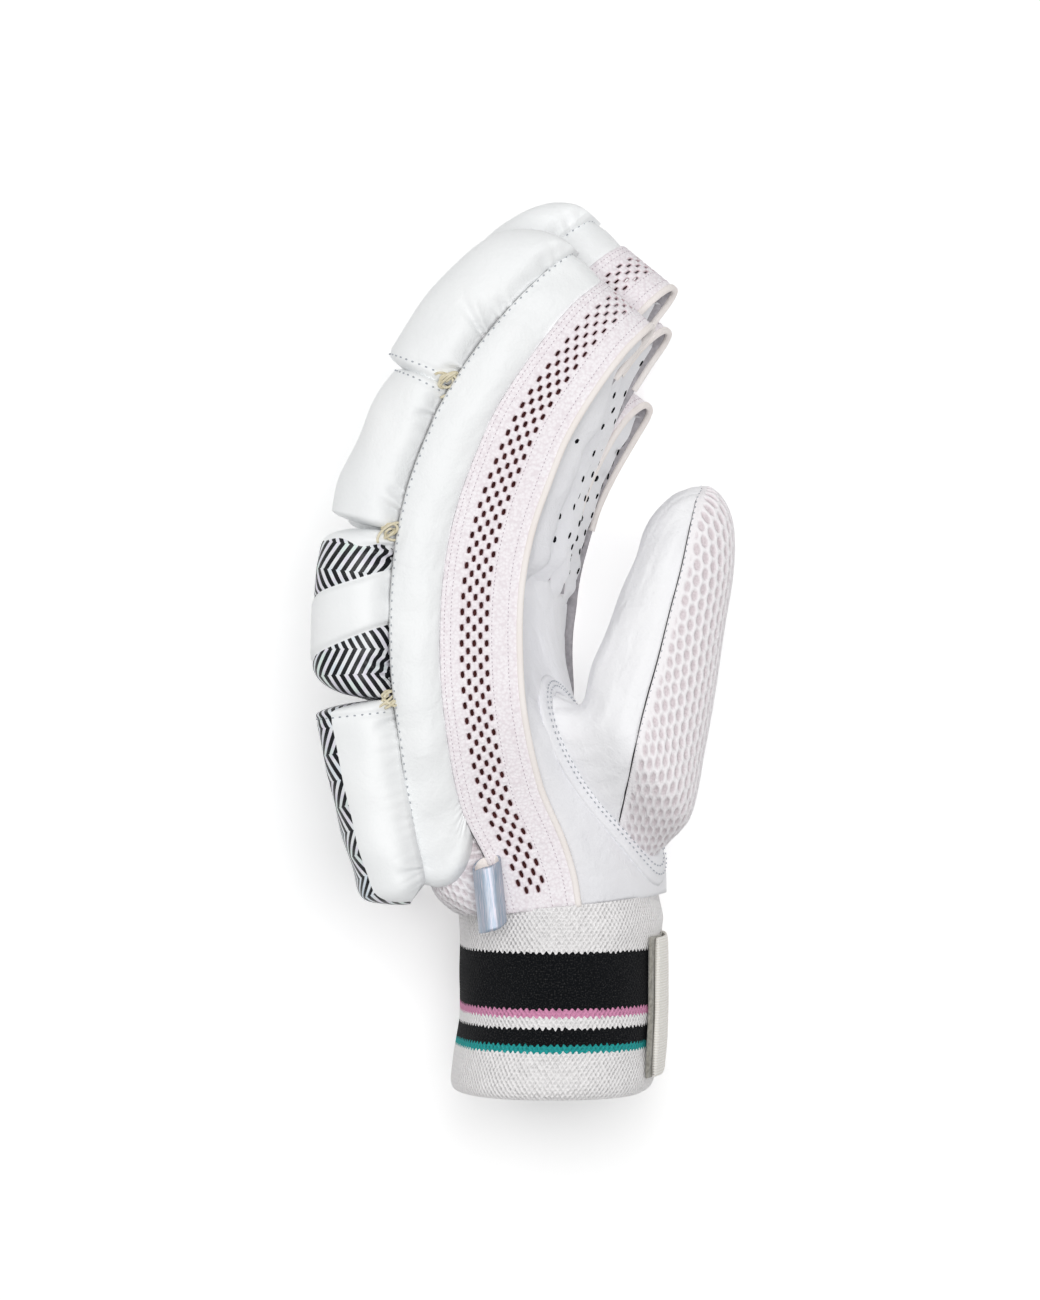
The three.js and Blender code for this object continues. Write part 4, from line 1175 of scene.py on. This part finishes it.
# Cuff
# A tube of thick elastic knit with its hem turned in. Coloured yarns are knitted in as bands: from the
# hand down black, pink, white, black and teal.
cuff_bottom, cuff_depth, cuff_middle, cuff_roll = -24.6, 59.5, 1.0, 5.0
# Elastic rib knit: matt, bumpy yarn loops, with bands knitted in, so that their edges are ragged
knit_cuff, tree = begin_material("cuff_rib_knit_elastic")
cloth = put(tree, "ShaderNodeUVMap", {"uv_map": "cloth"})
split = put(tree, "ShaderNodeSeparateXYZ", None, {"Vector": cloth})
# Loops 1.5 mm wide and 1.1 mm high; the band edges step up and down by a loop
loop_u = put(tree, "ShaderNodeMath", {"operation": "MULTIPLY"}, {0: split.outputs["X"], 1: 2 * math.pi / 1.5})
loop_v = put(tree, "ShaderNodeMath", {"operation": "MULTIPLY"}, {0: split.outputs["Y"], 1: 2 * math.pi / 2.2})
wave_u = put(tree, "ShaderNodeMath", {"operation": "SINE"}, {0: loop_u})
wave_v = put(tree, "ShaderNodeMath", {"operation": "SINE"}, {0: loop_v})
loops = put(tree, "ShaderNodeMath", {"operation": "MULTIPLY"}, {0: wave_u, 1: wave_v})
uneven = put(tree, "ShaderNodeTexNoise", None, {"Vector": cloth, "Scale": 1.1, "Detail": 4.0})
loop_height = put(tree, "ShaderNodeMath", {"operation": "MULTIPLY_ADD"}, {
    0: loops, 1: 0.35, 2: uneven.outputs["Fac"]})
tooth_u = put(tree, "ShaderNodeMath", {"operation": "MULTIPLY"}, {
    0: split.outputs["X"], 1: 2 * math.pi / 1.9})
tooth = put(tree, "ShaderNodeMath", {"operation": "SINE"}, {0: tooth_u})
ragged = put(tree, "ShaderNodeMath", {"operation": "MULTIPLY_ADD"}, {
    0: uneven.outputs["Fac"], 1: 4.0, 2: tooth})
stepped = put(tree, "ShaderNodeMath", {"operation": "MULTIPLY_ADD"}, {
    0: ragged, 1: 0.36, 2: split.outputs["Y"]})
# The colour ramp runs over 60 mm of the cuff's height
ramp_low, ramp_long = -25, 60
band_at = put(tree, "ShaderNodeMath", {"operation": "MULTIPLY_ADD"}, {
    0: stepped, 1: 1 / ramp_long, 2: -ramp_low / ramp_long})
bands = put(tree, "ShaderNodeValToRGB", None, {"Fac": band_at})
bands.color_ramp.interpolation = "CONSTANT"
white_yarn, black_yarn = "#FFFDFD", "#080B10"
# Where each yarn begins, in millimetres over the middle of the cuff
stops = [(-25, white_yarn), (-9.8, "#25A5A4"), (-7.7, black_yarn), (-2.9, white_yarn), (0.5, "#E398BE"),
         (2.7, black_yarn), (19.4, white_yarn)]
for order, (place, code) in enumerate(stops):
    position = (place - ramp_low) / ramp_long
    stop = bands.color_ramp.elements[0] if order == 0 else bands.color_ramp.elements.new(position)
    stop.position = position
    stop.color = linear(code)
bands.color_ramp.elements.remove(bands.color_ramp.elements[-1])
# The knit's valleys between loops are darkened: painted shade laid over the yarn colours
valley_painted_shade = put(tree, "ShaderNodeMapRange", None, {
    "Value": loop_height, 1: 0.15, 2: 0.6, 3: 0.84, 4: 1.0})
knit_shade = put(tree, "ShaderNodeMix", {"data_type": "RGBA", "blend_type": "MULTIPLY"}, {
    "Factor": 1.0, 6: bands.outputs["Color"], 7: valley_painted_shade})
specks = put(tree, "ShaderNodeTexNoise", None, {"Vector": cloth, "Scale": 2.2, "Detail": 2.0})
speck_share = put(tree, "ShaderNodeMapRange", None, {
    "Value": specks.outputs["Fac"], 1: 0.52, 2: 0.75, 3: 0.0, 4: 0.05})
fibres = put(tree, "ShaderNodeMix", {"data_type": "RGBA"}, {
    "Factor": speck_share, 6: knit_shade.outputs[2], 7: linear("#F1ECE6")})
knit_bump = put(tree, "ShaderNodeBump", None, {
    "Strength": 1.0, "Distance": 0.0007, "Height": loop_height})
end_material(tree, put(tree, "ShaderNodeBsdfPrincipled", None, {
    "Base Color": fibres.outputs[2], "Roughness": 0.95, "Specular IOR Level": 0.2, "Normal": knit_bump}))


def cuff_point(turn, y, grow):
    hem = np.maximum(0, 1 - (y - cuff_bottom) / cuff_roll)
    flare = smooth(-y / 25)
    half = wrist_width / 2
    x = (cuff_depth / 2 + grow - 1.6 * hem**2 + 0.8 * flare) * power(np.cos(turn), 0.86)
    z = (half + grow - 1.6 * hem**2 + 0.8) * power(np.sin(turn), 0.86)
    return np.stack([x + cuff_middle - 2 * flare, y + 0 * x, half + np.maximum(z, -half)], -1)


def cuff_top(x):
    row = side_at(0.0)
    seam_x = curl_depth * row["bow"] - knuckle_depth
    return wrist_height + (x - seam_x) * math.tan(math.radians(row["tilt"])) + 1.4


# The profile runs up inside, round the hem and up outside: how far out it lies and its share of the height
cuff_wall = 2.6
around = np.linspace(0, 2 * math.pi, 261)[:-1]
ring = cuff_point(around, 0.0, 0.0)
top = cuff_top(ring[:, 0])
profile = [(-cuff_wall, s) for s in np.linspace(0.98, 0.06, 12)]
for t in np.linspace(math.pi, 0, 9):
    profile.append((cuff_wall / 2 * (math.cos(t) - 1), 0.03 - 0.03 * math.sin(t)))
profile += [(0.0, s) for s in np.linspace(0.045, 1.0, 60)]
rows = []
for grow, share in profile:
    y = mix(cuff_bottom, top, share)
    if grow > -1:
        # Outside it bulges over the heel of the hand and lies in soft folds, but not on the floor
        grow = grow + 1.7 * np.exp(-(((y - 26) / 5) ** 2)) * np.maximum(0, np.cos(around)) ** 2
        grow = grow + 0.35 * crumple(around * 30, y, 19, 40) * (np.sin(around) > -0.9)
    rows.append(cuff_point(around, y, grow))
points = np.stack(rows)
points[..., 2] = np.maximum(points[..., 2], 0)
u = np.concatenate([[0], np.cumsum(np.linalg.norm(np.diff(ring, axis=0, append=ring[:1]), axis=-1))])
v = points[..., 1]
uv = np.stack([u[None] + 0 * v[:, :1], np.concatenate([v, v[:, :1]], 1)], -1)
cuff = sew("cuff_knit_tube", points, ring_closed=True, uv=uv)
fix_normals(cuff)
dress(cuff, knit_cuff, "cuff_knit", "cuff")


# Strap
# The cuff closes with a hook-and-loop strap on the palm side: a patch of grey loop pile is sewn to the
# knit, and the end of the cream woven strap lies over it.
fleece, tree, shader, tufts = fibre(
    "loop_fastener_brushed_nylon", "#5E5B52", "#C9C6BC", scale=900.0, detail=5.0, roughness=1.0)
tuft_bump = put(tree, "ShaderNodeBump", None, {
    "Strength": 1.0, "Distance": 0.0006, "Height": tufts.outputs["Fac"]})
tree.links.new(tuft_bump.outputs[0], shader.inputs["Normal"])
shader.inputs["Sheen Weight"].default_value = 0.4
# Plain webbing: fine ribs along it, 0.8 mm apart
webbing, tree = begin_material("strap_webbing_woven_polyester")
cloth = put(tree, "ShaderNodeUVMap", {"uv_map": "cloth"})
split = put(tree, "ShaderNodeSeparateXYZ", None, {"Vector": cloth})
rib = put(tree, "ShaderNodeMath", {"operation": "MULTIPLY"}, {0: split.outputs["X"], 1: 2 * math.pi / 0.8})
rib_wave = put(tree, "ShaderNodeMath", {"operation": "SINE"}, {0: rib})
pick_v = put(tree, "ShaderNodeMath", {"operation": "MULTIPLY"}, {0: split.outputs["Y"], 1: 2 * math.pi / 0.8})
pick_wave = put(tree, "ShaderNodeMath", {"operation": "SINE"}, {0: pick_v})
weave = put(tree, "ShaderNodeMath", {"operation": "MULTIPLY_ADD"}, {
    0: pick_wave, 1: 0.4, 2: rib_wave})
weave_share = put(tree, "ShaderNodeMapRange", None, {"Value": weave, 1: -1.4, 2: 1.4})
# The weave's hollows are painted darker than its crowns: painted shade
web_rib_painted_shade = put(tree, "ShaderNodeMix", {"data_type": "RGBA"}, {
    "Factor": weave_share, 6: linear("#EFEBE2"), 7: linear("#FEFCF8")})
web_bump = put(tree, "ShaderNodeBump", None, {
    "Strength": 0.4, "Distance": 0.0002, "Height": weave})
end_material(tree, put(tree, "ShaderNodeBsdfPrincipled", None, {
    "Base Color": web_rib_painted_shade.outputs[2], "Roughness": 0.85, "Normal": web_bump}))


def band(name, material, slot, node, start, stop, low, high, grow, thick, rough):
    """A closed band with soft edges, laid round the cuff's palm side from start to stop in degrees, from
    low to high over its middle and grow millimetres off the knit."""
    turns = np.radians(np.linspace(start, stop, 90))
    section = np.linspace(0, 2 * math.pi, 49)[:-1]
    rows = []
    for turn in turns:
        y = (low + high) / 2 + (high - low) / 2 * power(np.cos(section), 0.35)
        lift = grow + thick / 2 + thick / 2 * power(np.sin(section), 0.6)
        lift = lift + rough * np.where(np.sin(section) > 0, crumple(y, turn * 30, 2.2, 50), 0)
        rows.append(cuff_point(np.full_like(y, turn), y, lift))
    points = closed_ends(np.stack(rows))
    cuff_reach = 36  # mm from the cuff's middle to the strap
    along = np.concatenate([[turns[0]], turns, [turns[-1]]]) * cuff_reach
    high_v = np.concatenate([points[..., 1], points[:, :1, 1]], 1)
    uv = np.stack([high_v, along[:, None] + 0 * high_v], -1)
    piece = weld(sew(name, points, ring_closed=True, uv=uv))
    fix_normals(piece)
    dress(piece, material, slot, node)


band("loop_patch_pile", fleece, "loop_fleece", "loop_patch",
     start=-60, stop=31, low=-19.5, high=22.5, grow=0.5, thick=1.2, rough=0.25)
band("strap_end_webbing", webbing, "strap_web", "strap",
     start=-54, stop=28, low=-19.2, high=22.2, grow=1.95, thick=1.5, rough=0.04)


# Pull tab
# A silver ribbon folded to a loop and caught in the wrist seam, for pulling the glove on.

# Ribbon woven with metal threads, which give it cool streaks and a soft gleam
ribbon, tree = begin_material("silver_ribbon_metal_thread_woven")
cloth = put(tree, "ShaderNodeUVMap", {"uv_map": "cloth"})
stretch = put(tree, "ShaderNodeMapping", None, {"Vector": cloth, "Scale": (1.6, 0.05, 1.0)})
streaks = put(tree, "ShaderNodeTexNoise", None, {"Vector": stretch, "Scale": 1.0, "Detail": 5.0})
sheen = put(tree, "ShaderNodeValToRGB", None, {"Fac": streaks.outputs["Fac"]})
glints = [(0.3, "#7E8DA0"), (0.42, "#BCC1CC"), (0.5, "#94A9BD"), (0.58, "#D6D0DA"), (0.66, "#A9B4C2"),
          (0.78, "#8C9AAC")]
for place, code in glints:
    stop = sheen.color_ramp.elements.new(place)
    stop.color = linear(code)
sheen.color_ramp.elements.remove(sheen.color_ramp.elements[0])
sheen.color_ramp.elements.remove(sheen.color_ramp.elements[-1])
ribbon_bump = put(tree, "ShaderNodeBump", None, {
    "Strength": 0.25, "Distance": 0.0002, "Height": streaks.outputs["Fac"]})
end_material(tree, put(tree, "ShaderNodeBsdfPrincipled", None, {
    "Base Color": sheen.outputs["Color"], "Metallic": 0.25, "Roughness": 0.42, "Normal": ribbon_bump}))
tab_width, tab_reach, tab_depth = 21.4, 11.0, 8.6
tab_low, tab_middle, tab_turns, tab_rows = wrist_height - 4.5, -18.2, 64, 24
turns = np.linspace(0, 2 * math.pi, tab_turns + 1)[:-1]
to_right = 0.5 + 0.5 * np.cos(turns)
low = float(top_level((tab_low - wrist_height) / hand_rise)) + 0.7
# The ribbon's edges are cut aslant, and its floor side reaches a little further
mouth = tab_low + tab_width - 3.5 + 3.2 * to_right + 2.4 * np.maximum(0, -np.sin(turns)) ** 0.7
rows = []
for share in np.linspace(0, 1, tab_rows):
    y = mix(tab_low + 3.4 * to_right**2, mouth, share)
    lean = 0.1 * (y - tab_low)
    rows.append(np.stack([
        tab_middle + tab_depth / 2 * power(np.cos(turns), 0.75) - lean, y,
        low + tab_reach / 2 + tab_reach / 2 * power(np.sin(turns), 0.8)], -1))
points = np.stack(rows)
uv = np.stack(grid(np.linspace(0, 24, tab_rows), np.linspace(0, 33, tab_turns + 1)), -1)[..., ::-1]
tab = sew("pull_tab_ribbon", points, ring_closed=True, uv=uv)
thicken(tab, 0.7, 1)
tab.data.materials.append(ribbon)
dress(tab, tape_peach, "silver_ribbon", "pull_tab")


# Tying threads
# Between the pads the maker pulls the leather down with a few turns of waxed cotton and knots them;
# the frayed ends show at the seam.
cotton, *_ = fibre(
    "waxed_cotton_thread_cream", "#BBAE86", "#F6F0DC", scale=800.0, detail=2.0, roughness=0.9)
# Where each knot lies: its share of the rise and mm from the glove's upper edge. The seed lays its strands
knots = [("tip", 0.794, -0.9, 61), ("middle", 0.5865, -0.9, 62), ("knuckle", 0.352, -1.6, 63)]
for label, rise, dip, seed in knots:
    chance = np.random.default_rng(seed)
    centre = hand_point(rise, -bar_width * side_at(rise)["bar"] - 1.6, top_level(rise) + dip, index)
    for strand in range(4):
        t = np.linspace(0, 1, 26)
        swing = chance.uniform(0, 2 * math.pi, 3)
        size = chance.uniform(1.6, 3.2)
        line = centre + np.stack([
            size * np.cos(swing[0] + 5.5 * t) * (0.4 + t), size * np.sin(swing[1] + 4.5 * t) * (0.4 + t),
            1.2 + 0.9 * np.sin(swing[2] + 6 * t)], -1)
        upwards = np.tile([0.0, 0.0, 1.0], (len(t), 1))
        tape(f"{label}_knot_{strand}", line, upwards, cotton, "white_leather", width=0.75, height=0.6)
